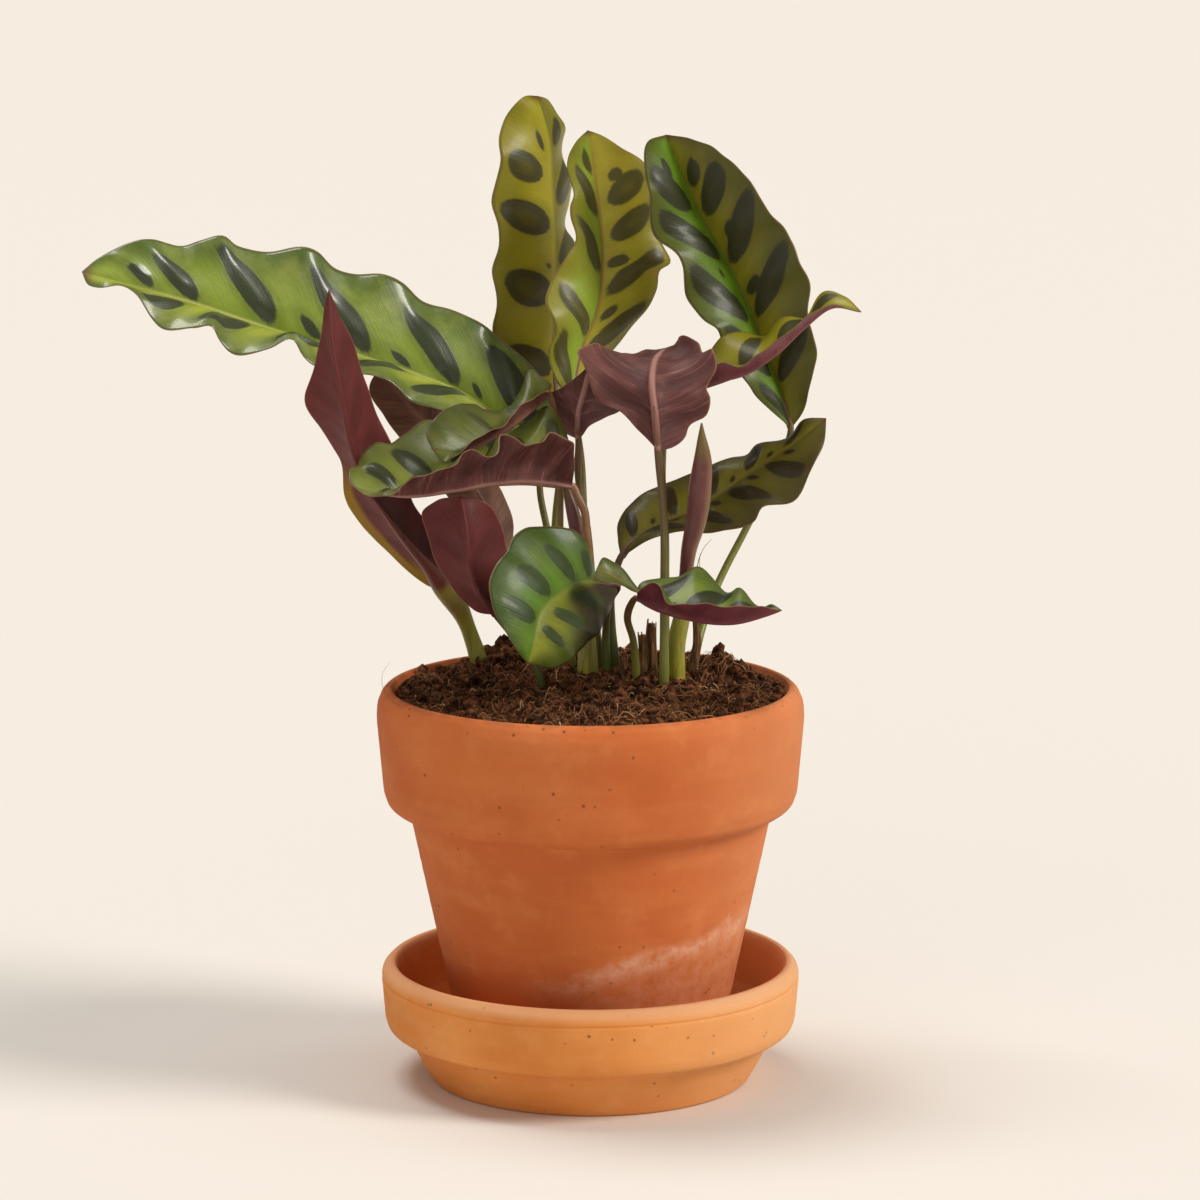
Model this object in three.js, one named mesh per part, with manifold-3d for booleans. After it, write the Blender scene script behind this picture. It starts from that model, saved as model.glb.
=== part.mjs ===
// A rattlesnake plant growing in a terracotta pot that stands on its own saucer.
// Millimetres, Z up. The origin is the middle of the saucer's underside.
import * as THREE from 'three';
import { mergeVertices } from 'three/addons/utils/BufferGeometryUtils.js';
import Module from 'manifold-3d';

const wasm = await Module();
wasm.setup();

// Driving dimensions of the clay ware
const gap = 0.3;
const latheSides = 48;
const potRimRadius = 70;
const potRimTop = 131;
const potBandBottom = 92;
const potBodyRadius = 59.4;
const potFootRadius = 41.6;
const potWall = 5.4;
const potFloor = 6;
const potInnerRim = 64.2;
const mouthBevelBottom = 128;
const floorBevel = 3;
const saucerRadius = 69;
const saucerHeight = 39;
const saucerBandBottom = 16;
const saucerBaseRadius = 52.5;
const saucerFloor = 6;
const drainRadius = 6.5;
const soilEdge = 129.6;
const soilSides = 36;

// Driving dimensions of the plant
const bladeThickness = 0.62;
const bladeArch = 0.07;
const rootDepth = 14;
const holeClearance = 0.55;
const holeSides = 8;
const holeSteps = 3;
const holeRise = 9;
const stalkSides = 6;
const stalkStep = 9;
const ribRadius = 0.55;
const ribSink = 0.6;
const finerRows = 18;
const lobeRows = 6;
const spikeSides = 8;
const spikeSteps = 18;
const stubSteps = 8;

const colours = {
  clay: 0xb9683a,
  saucerClay: 0xc9783c,
  soil: 0x3d261a,
  leafTop: 0x6f8f2c,
  leafUnder: 0x6a3a3f,
  spike: 0x7b4a4c,
  dry: 0x7a5a3a,
};

// Each leaf is lofted through three curves from its base to its tip: the midrib and both margins.
// Left and right are as seen on the green upper face with the tip up. The stalk runs from the soil
// to the base. A wave is [height, waves along the margin, phase in turns].
const leaves = {
  leaf_long_left: {
    stalk: [[-10, 26, 132], [-12, 30, 154], [-14, 34, 174], [-17, 40, 190], [-16, 46, 202],
      [-14, 48, 208]],
    rib: [[-14, 48, 208], [-28, 47, 212], [-46, 45, 223], [-75, 40, 234], [-105, 34, 244], [-129, 28, 253],
      [-144, 24, 258], [-166, 18, 265]],
    left: [[-14, 48, 208], [-27, 36, 208], [-44, 27, 217], [-51, 25, 218], [-59, 24, 222], [-67, 22, 229],
      [-78, 20, 230], [-89, 18, 234], [-94, 17, 238], [-98, 16, 242], [-106, 15, 239], [-115, 13, 239],
      [-121, 13, 243], [-124, 13, 247], [-130, 12, 246], [-138, 12, 247], [-143, 13, 251], [-148, 15, 257],
      [-154, 16, 260], [-161, 17, 260], [-164, 17, 261], [-166, 18, 265]],
    right: [[-14, 48, 208], [-12, 53, 216], [-14, 54, 222], [-19, 55, 228], [-25, 56, 234], [-35, 56, 242],
      [-47, 56, 248], [-57, 55, 252], [-63, 54, 257], [-70, 53, 260], [-79, 51, 261], [-85, 49, 263],
      [-91, 48, 268], [-97, 46, 270], [-106, 44, 269], [-113, 43, 270], [-118, 42, 271], [-122, 41, 274],
      [-129, 38, 273], [-134, 36, 272], [-140, 34, 273], [-145, 31, 274], [-152, 28, 273], [-161, 22, 269],
      [-166, 18, 265]],
    waveLeft: [1, 6, 0.8], waveRight: [1.2, 6.5, 0.5], rows: 36, thick: [1.8, 1.3], top: true,
  },
  leaf_tall_wine: {
    stalk: [[-37, 30, 131], [-40, 30, 142], [-44, 28, 152], [-49, 26, 159]],
    rib: [[-49, 26, 159], [-60, 16, 175], [-71, 6, 192], [-77, -4, 209], [-80, -10, 227], [-83, -10, 246],
      [-84, -6, 262]],
    left: [[-49, 26, 159], [-45, 34, 156], [-50, 30, 173], [-58, 20, 189], [-62, 12, 202], [-65, 8, 209],
      [-71, 2, 227], [-77, -2, 243], [-81, -4, 254], [-84, -6, 262]],
    right: [[-49, 26, 159], [-53, 27, 159], [-62, 26, 166], [-70, 24, 173], [-79, 18, 187], [-82, 10, 203],
      [-90, 2, 219], [-92, 0, 226], [-89, -2, 237], [-87, -4, 250], [-84, -6, 262]],
    waveLeft: [1, 3, 0.2], waveRight: [0.8, 3, 0.6], rows: 18, thick: [2.6, 2.3], top: false,
  },
  leaf_back_left: {
    stalk: [[-23, 38, 131], [-24, 38, 142], [-26, 38, 154], [-28, 40, 165]],
    rib: [[-28, 40, 165], [-35, 46, 182], [-49, 52, 201], [-61, 55, 216], [-71, 54, 229]],
    left: [[-28, 40, 165], [-26, 48, 171], [-30, 54, 187], [-38, 58, 202], [-49, 60, 215], [-61, 58, 225],
      [-71, 54, 229]],
    right: [[-28, 40, 165], [-37, 44, 170], [-47, 46, 185], [-57, 48, 198], [-64, 50, 206], [-69, 50, 212],
      [-74, 50, 222], [-71, 54, 229]],
    waveLeft: [1.2, 3, 0.1], waveRight: [1, 3, 0.4], rows: 12, thick: [1.7, 1.3], top: false,
  },
  leaf_small_torn: {
    stalk: [[-6, 19, 133], [-9, 22, 155], [-10, 26, 178], [-10, 29, 195], [-11, 31, 211], [-14, 28, 224]],
    rib: [[-14, 28, 224], [-23, 14, 217], [-33, 0, 212], [-42, -9, 209], [-51, -13, 211]],
    left: [[-14, 28, 224], [-16, 20, 225], [-24, 6, 221], [-29, -4, 217], [-37, -12, 214], [-44, -15, 209],
      [-47, -15, 207], [-51, -13, 211]],
    right: [[-14, 28, 224], [-13, 32, 226], [-17, 34, 229], [-20, 34, 231], [-23, 28, 225], [-29, 19, 219],
      [-37, 11, 222], [-45, 3, 223], [-49, -3, 221], [-53, -10, 216], [-51, -13, 211]],
    waveLeft: [0.4, 3, 0.3], waveRight: [0.6, 5, 0.1], rows: 16, thick: [1.6, 1.2], top: true,
  },
  leaf_front_left: {
    stalk: [[1, 0, 135], [0, 0, 153], [0, 2, 169], [-1, 4, 180], [-2, 6, 188], [-4, 7, 192], [-6, 8, 196]],
    rib: [[-6, 8, 196], [-16, 2, 198], [-29, -6, 199], [-42, -14, 198], [-58, -22, 197], [-69, -26, 199],
      [-77, -28, 202]],
    left: [[-6, 8, 196], [-5, -2, 206], [-5, -4, 211], [-9, -9, 214], [-13, -9, 216], [-16, -15, 213],
      [-20, -18, 212], [-24, -17, 215], [-28, -17, 216], [-30, -23, 211], [-33, -26, 210],
      [-37, -25, 212], [-40, -25, 211], [-43, -31, 208], [-49, -32, 207], [-54, -35, 205],
      [-59, -34, 202], [-64, -36, 199], [-70, -33, 199], [-77, -28, 202]],
    right: [[-6, 8, 196], [-6, 18, 206], [-11, 23, 217], [-15, 24, 219], [-20, 22, 216], [-30, 18, 211],
      [-39, 16, 212], [-48, 16, 215], [-54, 14, 216], [-61, 8, 213], [-65, 2, 210],
      [-70, -6, 211], [-73, -12, 210], [-75, -17, 206], [-77, -22, 206], [-77, -28, 202]],
    waveLeft: [0.6, 4.5, 0.55], waveRight: [0.8, 4, 0.2], rows: 30, thick: [1.8, 1.5], top: true,
  },
  leaf_oval_wine: {
    stalk: [[-16, -8, 133], [-19, -8, 141], [-25, -8, 149], [-31, -8, 156]],
    rib: [[-31, -8, 156], [-36, -12, 164], [-39, -15, 174], [-40, -14, 185], [-42, -9, 195]],
    left: [[-31, -8, 156], [-28, -4, 161], [-26, -3, 171], [-27, -3, 178], [-30, -3, 187], [-35, -6, 193],
      [-42, -9, 195]],
    right: [[-31, -8, 156], [-38, -6, 157], [-45, -6, 164], [-50, -6, 174], [-54, -4, 184], [-55, -3, 189],
      [-50, -5, 193], [-42, -9, 195]],
    waveLeft: [0.5, 2, 0.3], waveRight: [0.6, 2, 0.8], rows: 12, thick: [1.7, 1.2], top: false,
  },
  leaf_top_left: {
    stalk: [[-14, 42, 131], [-13, 48, 151], [-12, 56, 177], [-10, 66, 199], [-12, 74, 215]],
    rib: [[-12, 74, 215], [-13, 76, 235], [-12, 78, 263], [-13, 80, 286], [-14, 80, 303], [-18, 78, 318]],
    left: [[-12, 74, 215], [-22, 70, 217], [-31, 67, 233], [-33, 66, 241], [-32, 65, 250], [-33, 65, 259],
      [-31, 65, 270], [-33, 65, 283], [-31, 67, 294], [-31, 69, 303], [-29, 73, 310], [-25, 76, 316],
      [-22, 78, 318], [-18, 78, 318]],
    right: [[-12, 74, 215], [-10, 84, 219], [-8, 94, 240], [-6, 94, 254], [-5, 93, 265], [-9, 98, 274],
      [-8, 98, 282], [-7, 93, 291], [-10, 95, 298], [-10, 89, 308], [-14, 84, 316], [-18, 78, 318]],
    waveLeft: [0.8, 5, 0.4], waveRight: [1, 5, 0.1], rows: 26, thick: [1.8, 1.3], top: true,
  },
  leaf_front_round: {
    stalk: [[5, 8, 137], [5, 7, 148], [6, 4, 158], [9, 0, 164]],
    rib: [[9, 0, 164], [2, -8, 167], [-3, -16, 168], [-8, -25, 167], [-13, -34, 165], [-16, -39, 162],
      [-18, -44, 154], [-20, -45, 147]],
    left: [[9, 0, 164], [8, -3, 161], [6, -8, 157], [3, -14, 152], [-1, -20, 149], [-5, -27, 146],
      [-9, -33, 144], [-13, -38, 144], [-17, -42, 146], [-20, -45, 147]],
    right: [[9, 0, 164], [4, -3, 167], [0, -6, 169], [-1, -8, 173], [-2, -10, 180], [-5, -12, 184],
      [-10, -15, 186], [-16, -19, 187], [-21, -24, 187], [-25, -30, 185], [-27, -34, 181], [-30, -40, 178],
      [-32, -46, 172], [-31, -49, 166], [-28, -50, 160], [-24, -49, 153], [-20, -45, 147]],
    waveLeft: [0.3, 3, 0.2], waveRight: [0.4, 3, 0.6], rows: 20, thick: [1.7, 1.3], top: true,
  },
  leaf_top_middle: {
    stalk: [[3, 28, 135], [0, 29, 154], [-2, 32, 181], [-3, 38, 200], [-6, 42, 222]],
    rib: [[-6, 42, 222], [-3, 48, 236], [2, 54, 248], [4, 60, 263], [3, 62, 278], [1, 62, 293],
      [-1, 58, 308]],
    left: [[-6, 42, 222], [-10, 39, 224], [-14, 40, 236], [-12, 41, 243], [-15, 42, 252], [-13, 46, 259],
      [-9, 49, 266], [-5, 52, 272], [-7, 54, 283], [-6, 56, 287], [-8, 58, 296], [-5, 58, 304],
      [-1, 58, 308]],
    right: [[-6, 42, 222], [0, 52, 227], [8, 58, 235], [14, 60, 242], [19, 63, 248], [22, 65, 254],
      [23, 66, 260], [27, 67, 263], [24, 68, 269], [21, 69, 277], [19, 67, 295], [10, 63, 302],
      [4, 60, 306], [-1, 58, 308]],
    waveLeft: [0.6, 4, 0.1], waveRight: [0.6, 4, 0.6], rows: 22, thick: [1.7, 1.2], top: true,
  },
  leaf_top_right: {
    stalk: [[34, 12, 136], [41, 26, 157], [52, 38, 177], [62, 46, 195], [67, 48, 209]],
    rib: [[67, 48, 209], [64, 50, 220], [58, 53, 235], [51, 56, 253], [42, 58, 270], [34, 58, 285],
      [29, 56, 297], [25, 52, 307]],
    left: [[67, 48, 209], [62, 46, 214], [51, 44, 225], [42, 43, 242], [37, 43, 246], [33, 44, 252],
      [31, 44, 259], [29, 45, 266], [21, 46, 275], [19, 46, 284], [18, 47, 296], [19, 50, 305],
      [25, 52, 307]],
    right: [[67, 48, 209], [71, 47, 215], [74, 45, 227], [75, 44, 238], [72, 44, 251], [73, 45, 258],
      [69, 45, 267], [64, 46, 277], [58, 46, 284], [54, 47, 290], [49, 48, 297], [40, 50, 303],
      [33, 51, 306], [25, 52, 307]],
    waveLeft: [1, 5, 0.3], waveRight: [0.9, 6, 0.5], rows: 20, thick: [1.8, 1.3], top: true,
  },
  leaf_centre_wine: {
    stalk: [[24, -7, 135], [24, -4, 160], [24, -1, 183], [23, 2, 199], [22, 4, 208]],
    rib: [[22, 4, 208], [21, 6, 220], [20, 10, 229], [21, 20, 235], [24, 34, 237], [28, 48, 237]],
    left: [[22, 4, 208], [27, 6, 209], [31, 8, 212], [33, 9, 216], [38, 10, 219], [39, 10, 224],
      [38, 11, 228], [41, 13, 235], [40, 18, 239], [37, 22, 238], [35, 26, 242], [31, 32, 242],
      [29, 40, 240], [28, 48, 237]],
    right: [[22, 4, 208], [16, 7, 214], [10, 9, 220], [2, 11, 224], [-1, 12, 232], [-4, 15, 240],
      [-1, 20, 241], [2, 24, 241], [5, 28, 238], [12, 34, 237], [20, 42, 236], [28, 48, 237]],
    waveLeft: [0.9, 4, 0.5], waveRight: [0.8, 4, 0.2], rows: 18, thick: [1.9, 1.6], top: false,
  },
  leaf_strip_right: {
    stalk: [[25, 19, 132], [25, 26, 155], [25, 33, 177], [24, 36, 197], [26, 33, 217], [31, 28, 224]],
    rib: [[31, 28, 224], [41, 26, 228], [51, 24, 231], [61, 21, 238], [70, 17, 247], [79, 12, 254],
      [88, 8, 253]],
    left: [[31, 28, 224], [35, 33, 230], [40, 37, 237], [48, 38, 243], [58, 37, 242], [64, 34, 248],
      [71, 29, 249], [76, 23, 257], [82, 16, 258], [88, 8, 253]],
    right: [[31, 28, 224], [37, 22, 230], [43, 17, 235], [49, 13, 235], [57, 11, 240], [65, 8, 247],
      [72, 6, 253], [80, 5, 255], [88, 8, 253]],
    waveLeft: [0.8, 4, 0.2], waveRight: [0.4, 3, 0.7], rows: 16, thick: [1.6, 1.2], top: true,
  },
  leaf_low_right: {
    stalk: [[8, 13, 136], [7, 13, 149], [7, 11, 161], [10, 10, 172]],
    rib: [[10, 10, 172], [16, 13, 179], [36, 19, 187], [56, 25, 200], [69, 29, 208], [78, 31, 215]],
    left: [[10, 10, 172], [9, 15, 177], [9, 19, 182], [15, 24, 189], [22, 27, 192], [31, 29, 196],
      [39, 31, 199], [47, 33, 201], [52, 34, 202], [55, 35, 205], [66, 35, 209], [71, 34, 214],
      [78, 31, 215]],
    right: [[10, 10, 172], [16, 8, 176], [24, 7, 179], [33, 8, 181], [42, 9, 181], [49, 10, 181],
      [54, 11, 183], [57, 13, 188], [67, 16, 190], [72, 21, 197], [77, 27, 207], [78, 31, 215]],
    waveLeft: [0.6, 3, 0.3], waveRight: [1.2, 3, 0.8], rows: 17, thick: [1.8, 1.4], top: true,
  },
  leaf_front_right: {
    stalk: [[15, -5, 133], [14, -7, 147], [12, -10, 155], [13, -13, 160], [15, -16, 163]],
    rib: [[15, -16, 163], [24, -24, 160], [35, -30, 158], [46, -34, 158], [56, -37, 161], [61, -38, 163]],
    left: [[15, -16, 163], [16, -14, 167], [21, -12, 169], [29, -10, 169], [36, -9, 171], [44, -15, 165],
      [49, -21, 166], [53, -28, 163], [58, -34, 164], [61, -38, 163]],
    right: [[15, -16, 163], [16, -23, 167], [21, -29, 170], [25, -35, 165], [35, -40, 165], [48, -42, 165],
      [56, -41, 164], [61, -38, 163]],
    lobe: {
      rib: [[17, -18, 164], [10, -21, 169], [6, -23, 172], [2, -24, 174]],
      left: [[17, -18, 164], [11, -24, 168], [5, -27, 170], [1, -27, 171], [2, -24, 174]],
      right: [[17, -18, 164], [12, -18, 171], [8, -19, 175], [4, -21, 177], [2, -24, 174]],
    },
    waveLeft: [0.8, 3, 0.2], waveRight: [0.4, 3, 0.6], rows: 13, thick: [1.7, 1.3], top: true,
  },
  leaf_middle_brown: {
    stalk: [[3, 15, 135], [1, 18, 156], [-1, 22, 179], [-4, 26, 195], [-4, 29, 208]],
    rib: [[-4, 29, 208], [-4, 31, 216], [-2, 33, 224], [0, 32, 231], [5, 28, 235]],
    left: [[-4, 29, 208], [0, 27, 213], [5, 26, 216], [10, 26, 219], [12, 27, 225], [10, 28, 232],
      [5, 28, 235]],
    right: [[-4, 29, 208], [-10, 34, 211], [-12, 36, 216], [-14, 37, 222], [-10, 37, 224], [-4, 35, 229],
      [1, 31, 234], [5, 28, 235]],
    waveLeft: [0.5, 2, 0.3], waveRight: [0.5, 2, 0.7], rows: 10, thick: [1.7, 1.4], top: false,
  },
};

// Young leaves still rolled into a spike: the middle line and the radius at each of its points
const spikes = {
  young_leaf_spike: {
    line: [[28, 2, 134], [28, 1, 144], [30, 0, 155], [31, 0, 165], [32, -1, 176], [34, -1, 186],
      [35, -2, 197], [36, -2, 208], [36, -2, 218]],
    radii: [3.1, 3.1, 2.8, 2.4, 2.6, 3.3, 3.4, 2.6, 0.5],
    colour: colours.spike,
  },
  young_leaf_small: {
    line: [[-2, 6, 135], [-2, 7, 145], [-3, 8, 161], [-4, 9, 176], [-6, 10, 186], [-8, 12, 194],
      [-10, 14, 200]],
    radii: [2.4, 2.2, 1.6, 1.8, 2.3, 1.8, 0.5],
    colour: colours.spike,
  },
};

// Dry remains of old stalks in the crown
const stubs = {
  dry_stub_left: { line: [[10.5, 1, 134], [11, 1, 141]], radii: [1.7, 1.1] },
  dry_stub_middle: { line: [[17, 3, 134], [17.5, 3, 141], [16.5, 3, 149]], radii: [1.9, 1.7, 0.8] },
  dry_stub_right: { line: [[20, 8, 134], [19.8, 8.4, 144], [20.2, 8.6, 152]], radii: [2, 1.8, 1] },
  dry_sheath: { line: [[33.5, 6, 134], [35, 6.5, 144], [34, 6.5, 156]], radii: [1.5, 1.3, 0.6] },
};

const point = (place) => new THREE.Vector3(...place);
const smoothCurve = (places) => new THREE.CatmullRomCurve3(places.map(point), false, 'centripetal');

// Shares vertices that lie together and drops the faces that this flattens.
function welded(geometry) {
  geometry.deleteAttribute('normal');
  geometry.deleteAttribute('uv');
  const merged = mergeVertices(geometry, 1e-4);
  const index = merged.index.array;
  const kept = [];
  for (let i = 0; i < index.length; i += 3) {
    const [a, b, c] = index.slice(i, i + 3);
    if (a !== b && b !== c && c !== a) kept.push(a, b, c);
  }
  merged.setIndex(kept);
  return merged;
}

function solidFrom(geometry) {
  const { attributes, index } = welded(geometry);
  return new wasm.Manifold(new wasm.Mesh({
    numProp: 3,
    vertProperties: new Float32Array(attributes.position.array),
    triVerts: new Uint32Array(index.array),
  }));
}

function geometryFrom(solid) {
  const mesh = solid.getMesh();
  const geometry = new THREE.BufferGeometry();
  geometry.setAttribute('position', new THREE.BufferAttribute(mesh.vertProperties, 3));
  geometry.setIndex(new THREE.BufferAttribute(mesh.triVerts, 1));
  return geometry;
}

function geometryOf(vertices, faces) {
  const geometry = new THREE.BufferGeometry();
  const numbers = vertices.flatMap((place) => place.toArray());
  geometry.setAttribute('position', new THREE.Float32BufferAttribute(numbers, 3));
  geometry.setIndex(faces);
  return geometry;
}

// A closed turned body about Z from [radius, height] pairs, listed from the axis up the outside.
function turned(profile, sides = latheSides) {
  const outline = profile.map(([radius, height]) => new THREE.Vector2(radius, height));
  return new THREE.LatheGeometry(outline, sides).rotateX(Math.PI / 2);
}

// A round bar along a line whose radius changes from point to point.
function taperedBar(line, radiusAt, steps, sides) {
  const curve = smoothCurve(line);
  const frames = curve.computeFrenetFrames(steps, false);
  const vertices = [];
  const faces = [];
  for (let i = 0; i <= steps; i++) {
    const centre = curve.getPointAt(i / steps);
    for (let k = 0; k < sides; k++) {
      const angle = (2 * Math.PI * k) / sides;
      const radius = radiusAt(i / steps);
      vertices.push(centre.clone()
        .addScaledVector(frames.normals[i], radius * Math.cos(angle))
        .addScaledVector(frames.binormals[i], radius * Math.sin(angle)));
    }
  }
  for (let i = 0; i < steps; i++) {
    for (let k = 0; k < sides; k++) {
      const here = i * sides + k;
      const next = i * sides + ((k + 1) % sides);
      faces.push(here, next, next + sides, here, next + sides, here + sides);
    }
  }
  for (let k = 1; k < sides - 1; k++) {
    const last = steps * sides;
    faces.push(0, k + 1, k, last, last + k, last + k + 1);
  }
  return geometryOf(vertices, faces);
}

// Reads a value along a line from its values at the line's points.
function valueAlong(values, place) {
  const spot = Math.min(place, 0.9999) * (values.length - 1);
  const before = Math.floor(spot);
  return THREE.MathUtils.lerp(values[before], values[before + 1], spot - before);
}

// The grid of points through the middle of a blade: rows run from the base to the tip, and each
// row from the left margin over the midrib to the right margin.
function bladeGrid({ rib, left, right, waveLeft = [0, 1, 0], waveRight = [0, 1, 0] }, rows, cells) {
  const ribCurve = smoothCurve(rib);
  const halves = [
    { curve: smoothCurve(left), wave: waveLeft, turn: -1 },
    { curve: smoothCurve(right), wave: waveRight, turn: 1 },
  ];
  const grid = [];
  for (let i = 0; i <= rows; i++) {
    const even = i / rows;
    const along = (even + (1 - Math.cos(Math.PI * even)) / 2) / 2;
    const middle = ribCurve.getPointAt(along);
    const ahead = ribCurve.getTangentAt(along);
    const fade = Math.min(1, along * 6, (1 - along) * 8);
    const [leftRow, rightRow] = halves.map(({ curve, wave: [height, count, phase], turn }) => {
      const chord = curve.getPointAt(along).sub(middle);
      const up = chord.clone().cross(ahead).normalize().multiplyScalar(turn);
      const ripple = height * fade * Math.sin(2 * Math.PI * (count * along + phase));
      return Array.from({ length: cells }, (_, j) => {
        const across = (j + 1) / cells;
        const lift = bladeArch * 4 * across * (1 - across) * chord.length() + ripple * across ** 2;
        return middle.clone().addScaledVector(chord, across).addScaledVector(up, lift);
      });
    });
    grid.push([...leftRow.reverse(), middle, ...rightRow]);
  }
  return grid;
}

function gridNormals(grid) {
  const rows = grid.length - 1;
  const normals = grid.map((row, i) => row.map((_, j) => {
    const across = row[Math.min(j + 1, row.length - 1)].clone().sub(row[Math.max(j - 1, 0)]);
    const along = grid[Math.min(i + 1, rows)][j].clone().sub(grid[Math.max(i - 1, 0)][j]);
    return across.cross(along).normalize();
  }));
  const middle = (grid[0].length - 1) / 2;
  normals[0] = normals[0].map(() => normals[1][middle]);
  normals[rows] = normals[rows].map(() => normals[rows - 1][middle]);
  return normals;
}

// A blade of even thickness about its grid, with the same triangles on both faces.
function bladeGeometry(grid, normals) {
  const columns = grid[0].length;
  const rows = grid.length - 1;
  const side = (sign) => grid.flatMap((row, i) => row.map(
    (place, j) => place.clone().addScaledVector(normals[i][j], (sign * bladeThickness) / 2)));
  const vertices = [...side(1), ...side(-1)];
  const under = grid.length * columns;
  const faces = [];
  for (let i = 0; i < rows; i++) {
    for (let j = 0; j < columns - 1; j++) {
      const a = i * columns + j;
      const b = a + 1;
      const c = b + columns;
      const d = a + columns;
      faces.push(a, b, c, a, c, d);
      faces.push(under + a, under + c, under + b, under + a, under + d, under + c);
    }
    const leftEdge = i * columns;
    const rightEdge = leftEdge + columns - 1;
    faces.push(leftEdge, leftEdge + columns, under + leftEdge + columns);
    faces.push(leftEdge, under + leftEdge + columns, under + leftEdge);
    faces.push(rightEdge, under + rightEdge + columns, rightEdge + columns);
    faces.push(rightEdge, under + rightEdge, under + rightEdge + columns);
  }
  return geometryOf(vertices, faces);
}

// The root end that stands below the soil, under the first point of a line
function rootOf(line) {
  const [x, y, z] = line[0];
  return [x, y, z - rootDepth];
}

// A leaf's stalk with the first part of the midrib, which runs on under the blade and thins out
function stalkBar({ stalk, thick: [soilRadius, baseRadius] }, grid, normals) {
  const middle = (grid[0].length - 1) / 2;
  const ribRows = [0.12, 0.26, 0.4].map((share) => Math.round(share * (grid.length - 1)));
  const ribLine = ribRows.map((i) => grid[i][middle].clone().addScaledVector(normals[i][middle], -ribSink));
  const line = [rootOf(stalk), ...stalk, ...ribLine.map((place) => place.toArray())];
  const curve = smoothCurve(line);
  const stalkShare = smoothCurve(line.slice(0, stalk.length + 1)).getLength() / curve.getLength();
  const radiusAt = (place) => (place < stalkShare
    ? THREE.MathUtils.lerp(soilRadius, baseRadius, place / stalkShare)
    : THREE.MathUtils.lerp(baseRadius, ribRadius, (place - stalkShare) / (1 - stalkShare)));
  return taperedBar(line, radiusAt, Math.round(curve.getLength() / stalkStep), stalkSides);
}

// The clearance hole that a stalk stands in: it follows the stalk's own curve out of the soil.
function stalkHole(line, radius) {
  const curve = smoothCurve([rootOf(line), ...line]);
  const share = Math.min(0.9, (rootDepth + holeRise) / curve.getLength());
  const [bottom, ...rest] = [0, 0.33, 0.66, 1].map((part) => curve.getPointAt(part * share).toArray());
  bottom[2] -= gap;
  return solidFrom(taperedBar([bottom, ...rest], () => radius + holeClearance, holeSteps, holeSides));
}

const group = new THREE.Group();

function addPiece(name, geometry, colour, roughness) {
  const material = new THREE.MeshStandardMaterial({ color: colour, roughness, metalness: 0 });
  const mesh = new THREE.Mesh(geometry, material);
  mesh.name = name;
  group.add(mesh);
}

// Saucer: a shallow dish with a thick banded rim
addPiece('saucer', welded(turned([
  [0, 0],
  [saucerBaseRadius, 0],
  [saucerBaseRadius + 2.9, 5],
  [60.6, saucerBandBottom - 1],
  [66.4, saucerBandBottom + 1],
  [67.7, saucerBandBottom + 4],
  [saucerRadius, 33.7],
  [68.4, 36.8],
  [66.3, saucerHeight],
  [64.6, saucerHeight],
  [63.6, 37.2],
  [60.6, 22],
  [55.5, 9],
  [51.5, saucerFloor],
  [0, saucerFloor],
])), colours.saucerClay, 0.85);

// Pot: a tapered clay cup with a deep rim band and a drain hole in its floor
const footHeight = saucerFloor + gap;
const potFloorTop = footHeight + potFloor;
const potInnerFoot = potFootRadius - potWall;
const innerRadiusAt = (z) => THREE.MathUtils.mapLinear(z, footHeight, potRimTop, potInnerFoot, potInnerRim);
addPiece('pot', welded(turned([
  [drainRadius, footHeight],
  [potFootRadius - 1.2, footHeight],
  [potFootRadius, footHeight + 1.4],
  [46.1, 27],
  [potBodyRadius, potBandBottom - 2.5],
  [64, potBandBottom - 1],
  [66.6, potBandBottom + 1],
  [67.9, potBandBottom + 5],
  [potRimRadius, 121],
  [69.8, 125.5],
  [68.3, 129.4],
  [66.4, potRimTop],
  [65, potRimTop],
  [innerRadiusAt(mouthBevelBottom), mouthBevelBottom],
  [innerRadiusAt(potFloorTop + floorBevel), potFloorTop + floorBevel],
  [innerRadiusAt(potFloorTop) - floorBevel, potFloorTop],
  [drainRadius, potFloorTop],
  [drainRadius, footHeight],
])), colours.clay, 0.85);

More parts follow.
